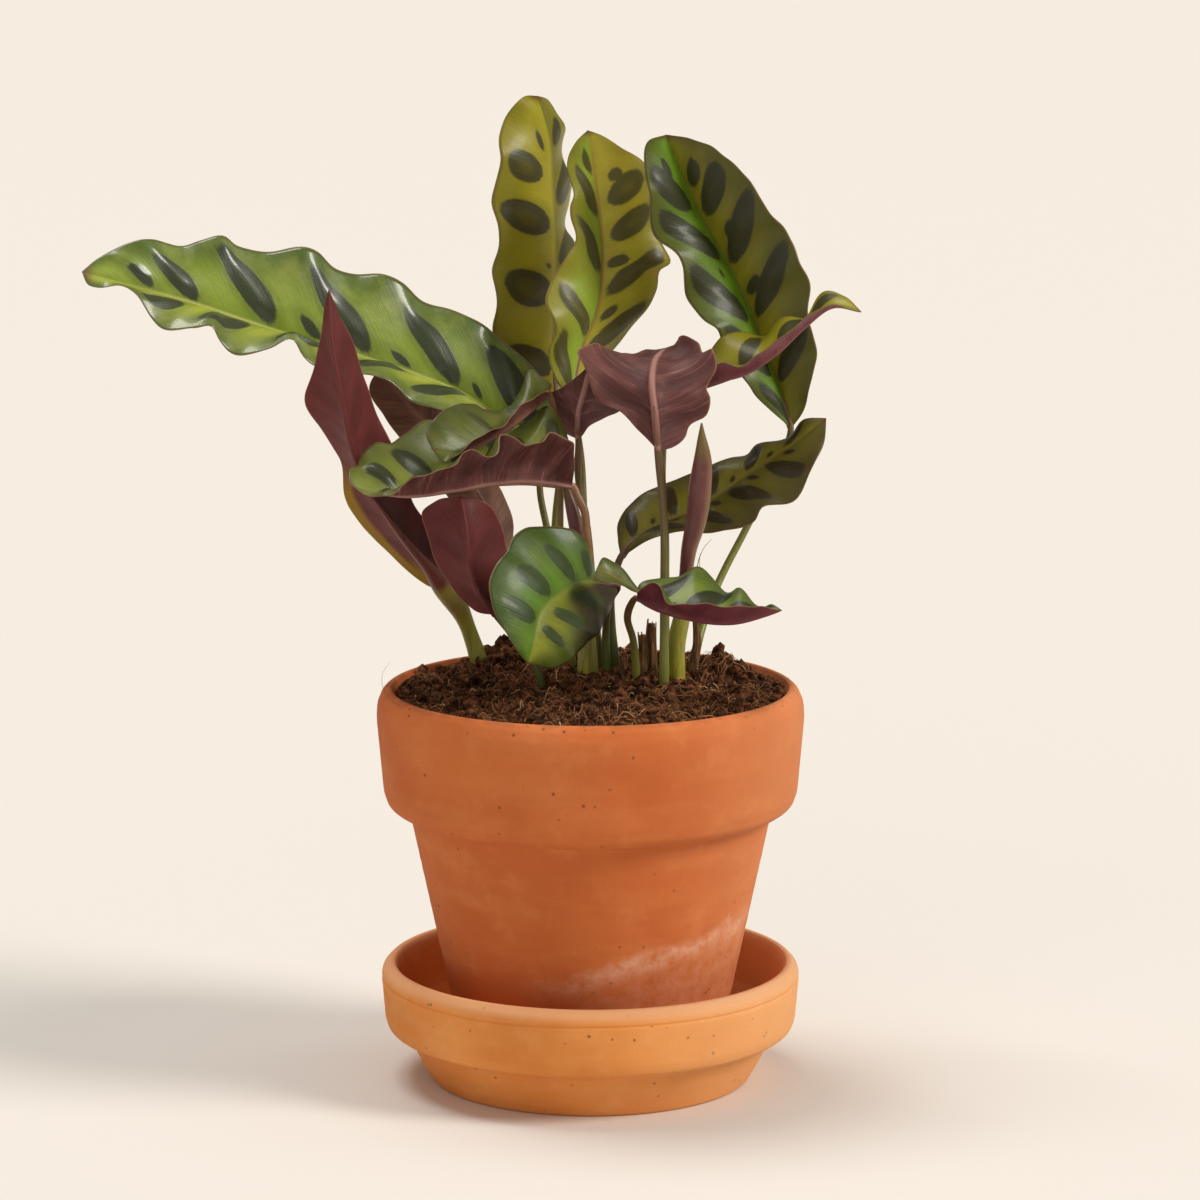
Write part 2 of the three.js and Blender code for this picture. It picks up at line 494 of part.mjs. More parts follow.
// Soil: it fills the pot and is heaped round the crown and at the back left and right
const heaps = [
  { x: 10, y: 0, height: 4.5, spread: 34 },
  { x: -26, y: 36, height: 8.5, spread: 13 },
  { x: 48, y: 26, height: 5, spread: 17 },
  { x: 12, y: 44, height: 3, spread: 20 },
];
function soilHeight(x, y, edge) {
  const mound = heaps.reduce((sum, heap) => sum
    + heap.height * Math.exp(-((x - heap.x) ** 2 + (y - heap.y) ** 2) / heap.spread ** 2), 0);
  const lumps = 0.7 * Math.sin(x * 0.31 + 1) * Math.cos(y * 0.27) + 0.5 * Math.sin(x * 0.13 - y * 0.21);
  const radius = Math.hypot(x, y);
  return soilEdge + (mound + lumps) * Math.min(1, ((edge - radius) / edge) * 5);
}
function soilBody() {
  const bottom = potFloorTop + gap;
  const corner = bottom + floorBevel;
  const edge = innerRadiusAt(mouthBevelBottom) - 2 * gap;
  const rings = [0.9, 0.74, 0.56, 0.36, 0.18];
  const geometry = turned([
    [0, bottom],
    [innerRadiusAt(potFloorTop) - floorBevel - 2 * gap, bottom],
    [innerRadiusAt(corner) - 2 * gap, corner],
    [edge, mouthBevelBottom],
    [edge, soilEdge],
    ...rings.map((share) => [edge * share, potRimTop]),
    [0, potRimTop],
  ], soilSides);
  const position = geometry.attributes.position;
  for (let i = 0; i < position.count; i++) {
    if (position.getZ(i) > potRimTop - 0.01) {
      position.setZ(i, soilHeight(position.getX(i), position.getY(i), edge));
    }
  }
  return solidFrom(geometry);
}

const holes = [];
for (const [name, leaf] of Object.entries(leaves)) {
  const cells = leaf.rows < finerRows ? 2 : 3;
  const grid = bladeGrid(leaf, leaf.rows, cells);
  const normals = gridNormals(grid);
  let solid = solidFrom(bladeGeometry(grid, normals)).add(solidFrom(stalkBar(leaf, grid, normals)));
  if (leaf.lobe) {
    const lobeGrid = bladeGrid(leaf.lobe, lobeRows, 1);
    solid = solid.add(solidFrom(bladeGeometry(lobeGrid, gridNormals(lobeGrid))));
  }
  addPiece(name, geometryFrom(solid), leaf.top ? colours.leafTop : colours.leafUnder, 0.5);
  holes.push(stalkHole(leaf.stalk, leaf.thick[0]));
}
for (const [name, { line, radii, colour }] of Object.entries(spikes)) {
  const whole = [rootOf(line), ...line];
  const wholeRadii = [radii[0] * 0.9, ...radii];
  const bar = taperedBar(whole, (place) => valueAlong(wholeRadii, place), spikeSteps, spikeSides);
  addPiece(name, welded(bar), colour, 0.5);
  holes.push(stalkHole(line, Math.max(...radii)));
}
for (const [name, { line, radii }] of Object.entries(stubs)) {
  const whole = [rootOf(line), ...line];
  const wholeRadii = [radii[0], ...radii];
  const bar = taperedBar(whole, (place) => valueAlong(wholeRadii, place), stubSteps, stalkSides);
  addPiece(name, welded(bar), colours.dry, 0.9);
  holes.push(stalkHole(line, Math.max(...radii)));
}
const soil = holes.reduce((body, hole) => body.subtract(hole), soilBody());
addPiece('soil', geometryFrom(soil), colours.soil, 1);

export default group;
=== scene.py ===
import math
import random

import bmesh
import bpy
import numpy as np
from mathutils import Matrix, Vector, noise


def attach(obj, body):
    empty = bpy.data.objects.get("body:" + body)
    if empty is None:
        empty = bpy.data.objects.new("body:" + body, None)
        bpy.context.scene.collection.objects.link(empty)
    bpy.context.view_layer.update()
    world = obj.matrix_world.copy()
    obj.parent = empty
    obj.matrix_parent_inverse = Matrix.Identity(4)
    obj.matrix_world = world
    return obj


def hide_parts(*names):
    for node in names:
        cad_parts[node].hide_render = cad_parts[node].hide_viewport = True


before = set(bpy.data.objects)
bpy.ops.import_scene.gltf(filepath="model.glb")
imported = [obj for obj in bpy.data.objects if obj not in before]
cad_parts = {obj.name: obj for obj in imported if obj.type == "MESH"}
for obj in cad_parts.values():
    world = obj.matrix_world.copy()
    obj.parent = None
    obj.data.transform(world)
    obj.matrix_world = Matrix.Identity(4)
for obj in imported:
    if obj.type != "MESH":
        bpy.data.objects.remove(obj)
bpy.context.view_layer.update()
mm = 0.001
scene = bpy.context.scene


# Camera, lights and floor

view = {
    "place": (0.0031, -1.490, 0.4275),
    "tiltDown": 10.2,  # degrees
    "lens": 139.1,
    "sensor": 36.0,
    "farthest": 60,
}
suns = {  # where it comes from, strength, softness in degrees across, colour
    "key": ((1.0, -0.32, 0.72), 2.25, 20, (1.0, 0.96, 0.9)),
    "top": ((-0.25, 0.2, 1.0), 1.7, 28, (1.0, 0.975, 0.94)),
    "fill": ((-0.45, -1.0, 0.4), 0.5, 60, (1.0, 0.97, 0.93)),
}
studio = {
    "roomColour": (1.0, 0.945, 0.87, 1),
    "roomStrength": 0.3,
    "floorRadius": 12.0,
    "floorSides": 96,
    "floorColour": (0.735, 0.702, 0.655, 1),
    "floorRoughness": 0.9,
    "floorShine": 0.1,
}


def makeCamera():
    data = bpy.data.cameras.new("camera")
    data.sensor_width = view["sensor"]
    data.lens = view["lens"]
    data.clip_end = view["farthest"]
    camera = bpy.data.objects.new("camera", data)
    camera.location = view["place"]
    camera.rotation_euler = (math.radians(90 - view["tiltDown"]), 0, 0)
    scene.collection.objects.link(camera)
    scene.camera = camera


def makeSun(name, comesFrom, strength, softness, colour):
    data = bpy.data.lights.new(name, "SUN")
    data.energy = strength
    data.angle = math.radians(softness)
    data.color = colour
    lamp = bpy.data.objects.new(name, data)
    lamp.rotation_euler = Vector(comesFrom).to_track_quat("Z", "Y").to_euler()
    scene.collection.objects.link(lamp)


def makeRoom():
    room = bpy.data.worlds.new("room")
    room.use_nodes = True
    sky = room.node_tree.nodes["Background"]
    sky.inputs["Color"].default_value = studio["roomColour"]
    sky.inputs["Strength"].default_value = studio["roomStrength"]
    scene.world = room
    scene.view_settings.view_transform = "Standard"


def makeFloor():
    mesh = bpy.data.meshes.new("floor")
    shape = bmesh.new()
    bmesh.ops.create_circle(shape, cap_ends=True, segments=studio["floorSides"], radius=studio["floorRadius"])
    shape.to_mesh(mesh)
    shape.free()
    floor = bpy.data.objects.new("floor", mesh)
    scene.collection.objects.link(floor)
    paint = bpy.data.materials.new("floor_paper")
    paint.use_nodes = True
    shader = paint.node_tree.nodes["Principled BSDF"]
    shader.inputs["Base Color"].default_value = studio["floorColour"]
    shader.inputs["Roughness"].default_value = studio["floorRoughness"]
    shader.inputs["Specular IOR Level"].default_value = studio["floorShine"]
    mesh.materials.append(paint)


makeCamera()
for sunName, sun in suns.items():
    makeSun(sunName, *sun)
makeRoom()
makeFloor()
print("camera and studio made")


# Curves and meshes

def unit(vectors):
    size = np.linalg.norm(vectors, axis=-1, keepdims=True)
    return vectors / np.where(size > 1e-9, size, 1)


def smoothLine(points, steps=40):  # passes through every point, with no overshoot where they crowd
    points = np.asarray(points, float)
    whole = np.vstack([2 * points[0] - points[1], points, 2 * points[-1] - points[-2]])
    spans = np.linalg.norm(np.diff(whole, axis=0), axis=1) ** 0.5
    share = np.arange(steps)[:, None] / steps
    pieces = []
    for k in range(len(points) - 1):
        a, b, c, d = whole[k:k + 4]
        before, here, after = spans[k:k + 3]
        leave = ((b - a) / before - (c - a) / (before + here) + (c - b) / here) * here
        reach = ((c - b) / here - (d - b) / (here + after) + (d - c) / after) * here
        pieces.append(b + leave * share + (3 * (c - b) - 2 * leave - reach) * share**2
                      + (2 * (b - c) + leave + reach) * share**3)
    return np.vstack([*pieces, points[-1:]])


def stepsOf(line):
    return np.linalg.norm(np.diff(line, axis=0), axis=1)


def lengthOf(line):
    return float(stepsOf(line).sum())


def spread(line, shares):  # places at the given shares of a line's length
    far = np.concatenate([[0], np.cumsum(stepsOf(line))])
    return np.stack([np.interp(shares, far / far[-1], line[:, k]) for k in range(3)], axis=-1)


def alongList(values, shares):  # values that are evenly spaced along a line, read at the given shares
    return np.interp(shares, np.linspace(0, 1, len(values)), values)


def ease(low, high, value):
    share = np.clip((value - low) / (high - low), 0, 1)
    return share * share * (3 - 2 * share)


def hump(value, width):  # 1 in the middle, 0 well past the width on both sides
    return np.exp(-((value / width) ** 2))


def circle(sides):
    return 2 * np.pi * np.arange(sides) / sides


def ringFaces(rings, sides):  # round closed rings of points that follow each other
    faces = []
    for i in range(rings - 1):
        for k in range(sides):
            here, beside = i * sides + k, i * sides + (k + 1) % sides
            faces.append((here, beside, beside + sides, here + sides))
    return faces


def tubeFaces(rings, sides):  # the same, closed by a point at either end, listed after the rings
    faces = ringFaces(rings, sides)
    first = rings * sides
    for k in range(sides):
        beside = (k + 1) % sides
        faces.append((first, beside, k))
        faces.append((first + 1, first - sides + k, first - sides + beside))
    return faces


def sheetFaces(rows, columns):  # a thin sheet: a grid of upper points, then the same grid of lower ones
    faces = []
    under = rows * columns
    for i in range(rows - 1):
        for j in range(columns - 1):
            a = i * columns + j
            faces.append((a, a + 1, a + 1 + columns, a + columns))
            faces.append((under + a, under + a + columns, under + a + 1 + columns, under + a + 1))
        first, last = i * columns, (i + 1) * columns - 1
        faces.append((first, first + columns, under + first + columns, under + first))
        faces.append((last, under + last, under + last + columns, last + columns))
    return faces


def carriedFrames(centres):  # two directions across a line, carried along it without twisting
    ahead = unit(np.gradient(centres, axis=0))
    first = np.array([0.0, -1.0, 0.0])
    sides = []
    for direction in ahead:
        first = first - direction * (first @ direction)
        first = first / np.linalg.norm(first)
        sides.append(first)
    sides = np.array(sides)
    return sides, np.cross(ahead, sides)


def tubeParts(centres, radii, sides, squeeze=1.0):  # rings round a line and a cap at either end
    one, other = carriedFrames(centres)
    angle = circle(sides)[None, :, None]
    size = np.asarray(radii)[:, None, None]
    rings = (centres[:, None] + one[:, None] * (np.cos(angle) * size * squeeze)
             + other[:, None] * (np.sin(angle) * size))
    points = np.vstack([rings.reshape(-1, 3), centres[:1], centres[-1:]])
    return points, tubeFaces(len(centres), sides)


class Build:  # gathers points, faces and the values painted on points, then makes one object
    def __init__(self):
        self.points, self.faces, self.slots, self.values, self.count = [], [], [], {}, 0

    def add(self, points, faces, slot=0, **values):
        size = len(points)
        for name in dict.fromkeys([*self.values, *values]):
            if name not in self.values:
                self.values[name] = [np.zeros(self.count)]
            self.values[name].append(np.broadcast_to(np.asarray(values.get(name, 0.0), float), size))
        self.points.append(np.asarray(points, float))
        self.faces += [tuple(index + self.count for index in face) for face in faces]
        self.slots += [slot] * len(faces)
        self.count += size

    def make(self, name, materials, smooth=True, weld=True):
        mesh = bpy.data.meshes.new(name)
        mesh.from_pydata((np.vstack(self.points) * mm).tolist(), [], self.faces)
        for material in materials:
            mesh.materials.append(material)
        mesh.polygons.foreach_set("material_index", self.slots)
        for label, parts in self.values.items():
            layer = mesh.attributes.new(label, "FLOAT", "POINT")
            layer.data.foreach_set("value", np.concatenate(parts).astype(np.float32))
        if weld:
            shape = bmesh.new()
            shape.from_mesh(mesh)
            bmesh.ops.remove_doubles(shape, verts=shape.verts, dist=2e-6)
            bmesh.ops.dissolve_degenerate(shape, edges=shape.edges, dist=1e-6)
            shape.to_mesh(mesh)
            shape.free()
        mesh.polygons.foreach_set("use_smooth", [smooth] * len(mesh.polygons))
        mesh.update()
        piece = bpy.data.objects.new(name, mesh)
        scene.collection.objects.link(piece)
        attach(piece, "root")
        return piece


# Shaders

class Flow:  # one output of a node, so that expressions on values add their nodes
    def __init__(self, tree, socket=None):
        self.tree, self.socket = tree, socket

    def node(self, kind, settings=None, inputs=None, output=0):
        made = self.tree.nodes.new(kind)
        for name, value in (settings or {}).items():
            setattr(made, name, value)
        for name, value in (inputs or {}).items():
            if isinstance(value, Flow):
                self.tree.links.new(value.socket, made.inputs[name])
            else:
                made.inputs[name].default_value = value
        return Flow(self.tree, made.outputs[output])

    def maths(self, operation, *values):
        return self.node("ShaderNodeMath", {"operation": operation}, dict(enumerate(values)))

    def __add__(self, other):
        return self.maths("ADD", self, other)

    def __sub__(self, other):
        return self.maths("SUBTRACT", self, other)

    def __rsub__(self, other):
        return self.maths("SUBTRACT", other, self)

    def __mul__(self, other):
        return self.maths("MULTIPLY", self, other)

    __radd__, __rmul__ = __add__, __mul__

    def step(self, low, high):  # 0 below low, 1 above high, smooth between
        return self.node("ShaderNodeMapRange", {"interpolation_type": "SMOOTHSTEP"},
                         {"Value": self, "From Min": low, "From Max": high})

    def mix(self, one, other):  # colours, with this value as the share of the other
        return self.node("ShaderNodeMix", {"data_type": "RGBA"}, {0: self, 6: one, 7: other}, 2)


class Finish:  # one material with a Principled shader
    def __init__(self, name, **constants):
        self.material = bpy.data.materials.new(name)
        self.material.use_nodes = True
        self.tree = self.material.node_tree
        self.shader = self.tree.nodes["Principled BSDF"]
        self.start = Flow(self.tree)
        for socket, value in constants.items():
            self.shader.inputs[socket.replace("_", " ")].default_value = value

    def value(self, name):  # a value painted on the points
        return self.start.node("ShaderNodeAttribute", {"attribute_name": name}, output="Fac")

    def place(self, *scale):  # object coordinates in millimetres, each times its scale
        where = self.start.node("ShaderNodeTexCoord", output="Object")
        return where.node("ShaderNodeVectorMath", {"operation": "MULTIPLY"},
                          {0: where, 1: tuple(s / mm for s in scale or (1, 1, 1))})

    def join(self, x, y, z=0.0):
        return self.start.node("ShaderNodeCombineXYZ", inputs={0: x, 1: y, 2: z})

    def grain(self, where, scale, detail=3, rough=0.6):
        return where.node("ShaderNodeTexNoise", inputs={
            "Vector": where, "Scale": scale, "Detail": detail, "Roughness": rough})

    def dots(self, where, scale, low, high):  # small round dots, 1 inside low and 0 outside high
        cells = where.node("ShaderNodeTexVoronoi", inputs={"Vector": where, "Scale": scale})
        return 1 - cells.step(low, high)

    def feed(self, socket, flow):
        self.tree.links.new(flow.socket, self.shader.inputs[socket])

    def bump(self, height, depth, strength=1.0):
        self.feed("Normal", height.node("ShaderNodeBump", inputs={
            "Strength": strength, "Distance": depth * mm, "Height": height}))


def layered(colour, *layers):  # each layer is a mask and the colour that it lets through
    for mask, paint in layers:
        colour = mask.mix(colour, paint)
    return colour


def tone(red, green, blue):  # a colour as seen on screen, 0 to 255
    return (*(((c / 255 + 0.055) / 1.055) ** 2.4 if c > 10 else c / 3295 for c in (red, green, blue)), 1)


def shade(colour, share):
    return (*(c * share for c in colour[:3]), 1)


# Clay pot and saucer

clay = {
    "sides": 192,
    "step": 2.2,  # mm between points of a profile
    "salt": tone(228, 176, 146),
    "saltHeight": 38.7,
    "saltTilt": 0.24,
    "saltRagged": 14,
    "speck": tone(104, 58, 34),
    "dust": tone(120, 76, 46),
    # painted light: the pot's right side, towards the key lamp, is painted paler
    "potPaintedLight": tone(226, 158, 108),
    # painted light: the saucer's right side, towards the key lamp, is painted lighter
    "saucerPaintedLight": tone(230, 180, 130),
    "saucerLip": tone(230, 180, 140),
}
wares = {
    "pot": {
        "profile": [
            [6.5, 6.3], [40.4, 6.3], [41.6, 7.7], [46.1, 27], [59.4, 89.5], [64, 91], [66.6, 93], [67.9, 97],
            [70, 121], [69.8, 125.5], [68.3, 129.4], [66.4, 131], [65, 131], [63.5, 128], [38.3, 15.3],
            [34.6, 12.3], [6.5, 12.3], [6.5, 6.3],
        ],
        "corner": 1.4, "lean": 0.4, "slot": "terracotta_pot", "finish": "terracotta",
        "base": tone(204, 112, 58), "deep": tone(188, 96, 46), "pale": tone(222, 142, 86),
    },
    "saucer": {
        "profile": [
            [0, 0], [52.5, 0], [55.4, 5], [60.6, 15], [66.4, 17], [67.7, 20], [68.8, 33.2], [68.3, 33.9],
            [68.9, 34.6], [68.4, 36.8], [66.3, 39], [64.6, 39], [63.6, 37.2], [60.6, 22], [55.5, 9],
            [51.5, 6], [0, 6],
        ],
        "corner": 1.2, "lean": 2.1, "slot": "terracotta_saucer", "finish": "terracotta_saucer",
        "base": tone(232, 152, 80), "deep": tone(218, 134, 64), "pale": tone(238, 176, 114),
    },
}


def rounded(profile, radius, steps=4):  # a profile whose corners are rounded
    points = np.asarray(profile, float)
    made = [points[0]]
    for before, here, after in zip(points, points[1:], points[2:]):
        into, out = before - here, after - here
        cut = min(radius, np.linalg.norm(into) * 0.45, np.linalg.norm(out) * 0.45)
        start, end = here + unit(into) * cut, here + unit(out) * cut
        for share in np.linspace(0, 1, steps + 1):
            made.append((1 - share) ** 2 * start + 2 * share * (1 - share) * here + share**2 * end)
    made.append(points[-1])
    return np.array(made)


def finer(profile, step):  # a profile with a point at least every step
    made = [profile[0]]
    for before, here in zip(profile, profile[1:]):
        count = max(1, int(np.linalg.norm(here - before) / step))
        made += [before + (here - before) * (k + 1) / count for k in range(count)]
    return np.array(made)


def saltBloom(finish, colour, x, y, z):  # a slanting whitish band low on the front, and a haze below it
    ragged = finish.grain(finish.place(), 0.05, 5, 0.65)
    mottle = finish.grain(finish.place(), 0.22, 4, 0.7)
    rise = z - x * clay["saltTilt"] - ragged * clay["saltRagged"] - clay["saltHeight"]
    front = x.step(-26, 6) * (1 - y.step(-24, 0))
    band = rise.step(-7, 0) * (1 - rise.step(-0.5, 4.5)) * front
    haze = (1 - rise.step(-9, 1)) * x.step(-30, 30) * (1 - y.step(-10, 20)) * 0.25
    return layered(colour, (haze * mottle.step(0.3, 0.7), clay["salt"]),
                   (band * mottle.step(0.2, 0.7) * 0.7, clay["salt"]),
                   (z.step(129.2, 131) * mottle.step(0.4, 0.6) * 0.35, clay["dust"]))


def saucerWearAndPaintedLight(finish, colour, deep, x, y, z):  # the saucer's scratches, its paler lip and its darker foot
    scratches = finish.grain(finish.place(0.12, 0.12, 2.2), 0.5, 4, 0.7)
    return layered(colour, (scratches.step(0.58, 0.72) * 0.3, deep),
                   # painted light: the right side painted lighter
                   (x.step(0, 70) * 0.5, clay["saucerPaintedLight"]),
                   (z.step(34.5, 38) * 0.55, clay["saucerLip"]),
                   ((1 - z.step(4, 30)) * (1 - y.step(-90, 90)) * 0.12, deep))


def clayFinish(name, ware):
    finish = Finish(ware["finish"], Roughness=0.82, Specular_IOR_Level=0.25)
    deep, pale = ware["deep"], ware["pale"]
    place = finish.place()
    x, y, z = (place.node("ShaderNodeSeparateXYZ", inputs={0: place}, output=k) for k in range(3))
    clouds = finish.grain(place, 0.016, 4)
    turning = finish.grain(finish.place(0.3, 0.3, 1.4), 0.1, 3, 0.5)  # the marks of the potter's wheel
    fine = finish.grain(place, 1.3, 4, 0.7)
    patches = finish.grain(place, 0.07, 4)
    specks = finish.dots(place, 0.17, 0.06, 0.13)
    colour = layered(clouds.step(0.35, 0.68).mix(deep, ware["base"]),
                     (turning.step(0.4, 0.8) * 0.2, pale),
                     (patches.step(0.52, 0.72) * 0.22, pale),
                     (fine.step(0.35, 0.8) * 0.16, deep),
                     (specks * clouds.step(0.42, 0.55) * 0.7, clay["speck"]),
                     (finish.dots(place, 0.55, 0.04, 0.12) * 0.4, pale))
    if name == "pot":
        # painted light: the right side, towards the key lamp, painted paler
        colour = (x.step(15, 75) * 0.35).mix(colour, clay["potPaintedLight"])
        colour = saltBloom(finish, colour, x, y, z)
    else:
        colour = saucerWearAndPaintedLight(finish, colour, deep, x, y, z)
    finish.feed("Base Color", colour)
    finish.feed("Roughness", 0.74 + 0.16 * fine)
    finish.bump(fine * 0.35 + turning * 0.6 + finish.grain(place, 4.5, 2) * 0.18, 0.3)
    return finish.material


def makeWare(name, ware):
    profile = finer(rounded(ware["profile"], ware["corner"]), clay["step"])
    angle, lean = circle(clay["sides"]), ware["lean"]
    radius, height = profile[:, :1], profile[:, 1:]
    soft = 0.16 * np.sin(2 * angle + lean) + 0.1 * np.sin(3 * angle + 2 * lean + height * 0.02)
    rings = 0.03 * np.sin(height * 1.7 + lean) + 0.015 * np.sin(height * 4.3)
    radius = radius + (soft + rings) * ease(15, 45, radius)  # thrown clay is never quite round
    points = np.stack([radius * np.cos(angle), radius * np.sin(angle), height + 0 * radius], axis=-1)
    build = Build()
    build.add(points.reshape(-1, 3), ringFaces(len(profile), clay["sides"]))
    piece = build.make(name, [clayFinish(name, ware)])
    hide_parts(name)


for wareName, ware in wares.items():
    makeWare(wareName, ware)
print("pot and saucer made")


# Leaves: each is lofted through its midrib and both margins, all from its base to its tip, and its
# stalk ends at the base. Left and right are as seen on the green upper face with the tip up. Places
# are in millimetres. A wave is its height, its number along the margin and its phase in turns.

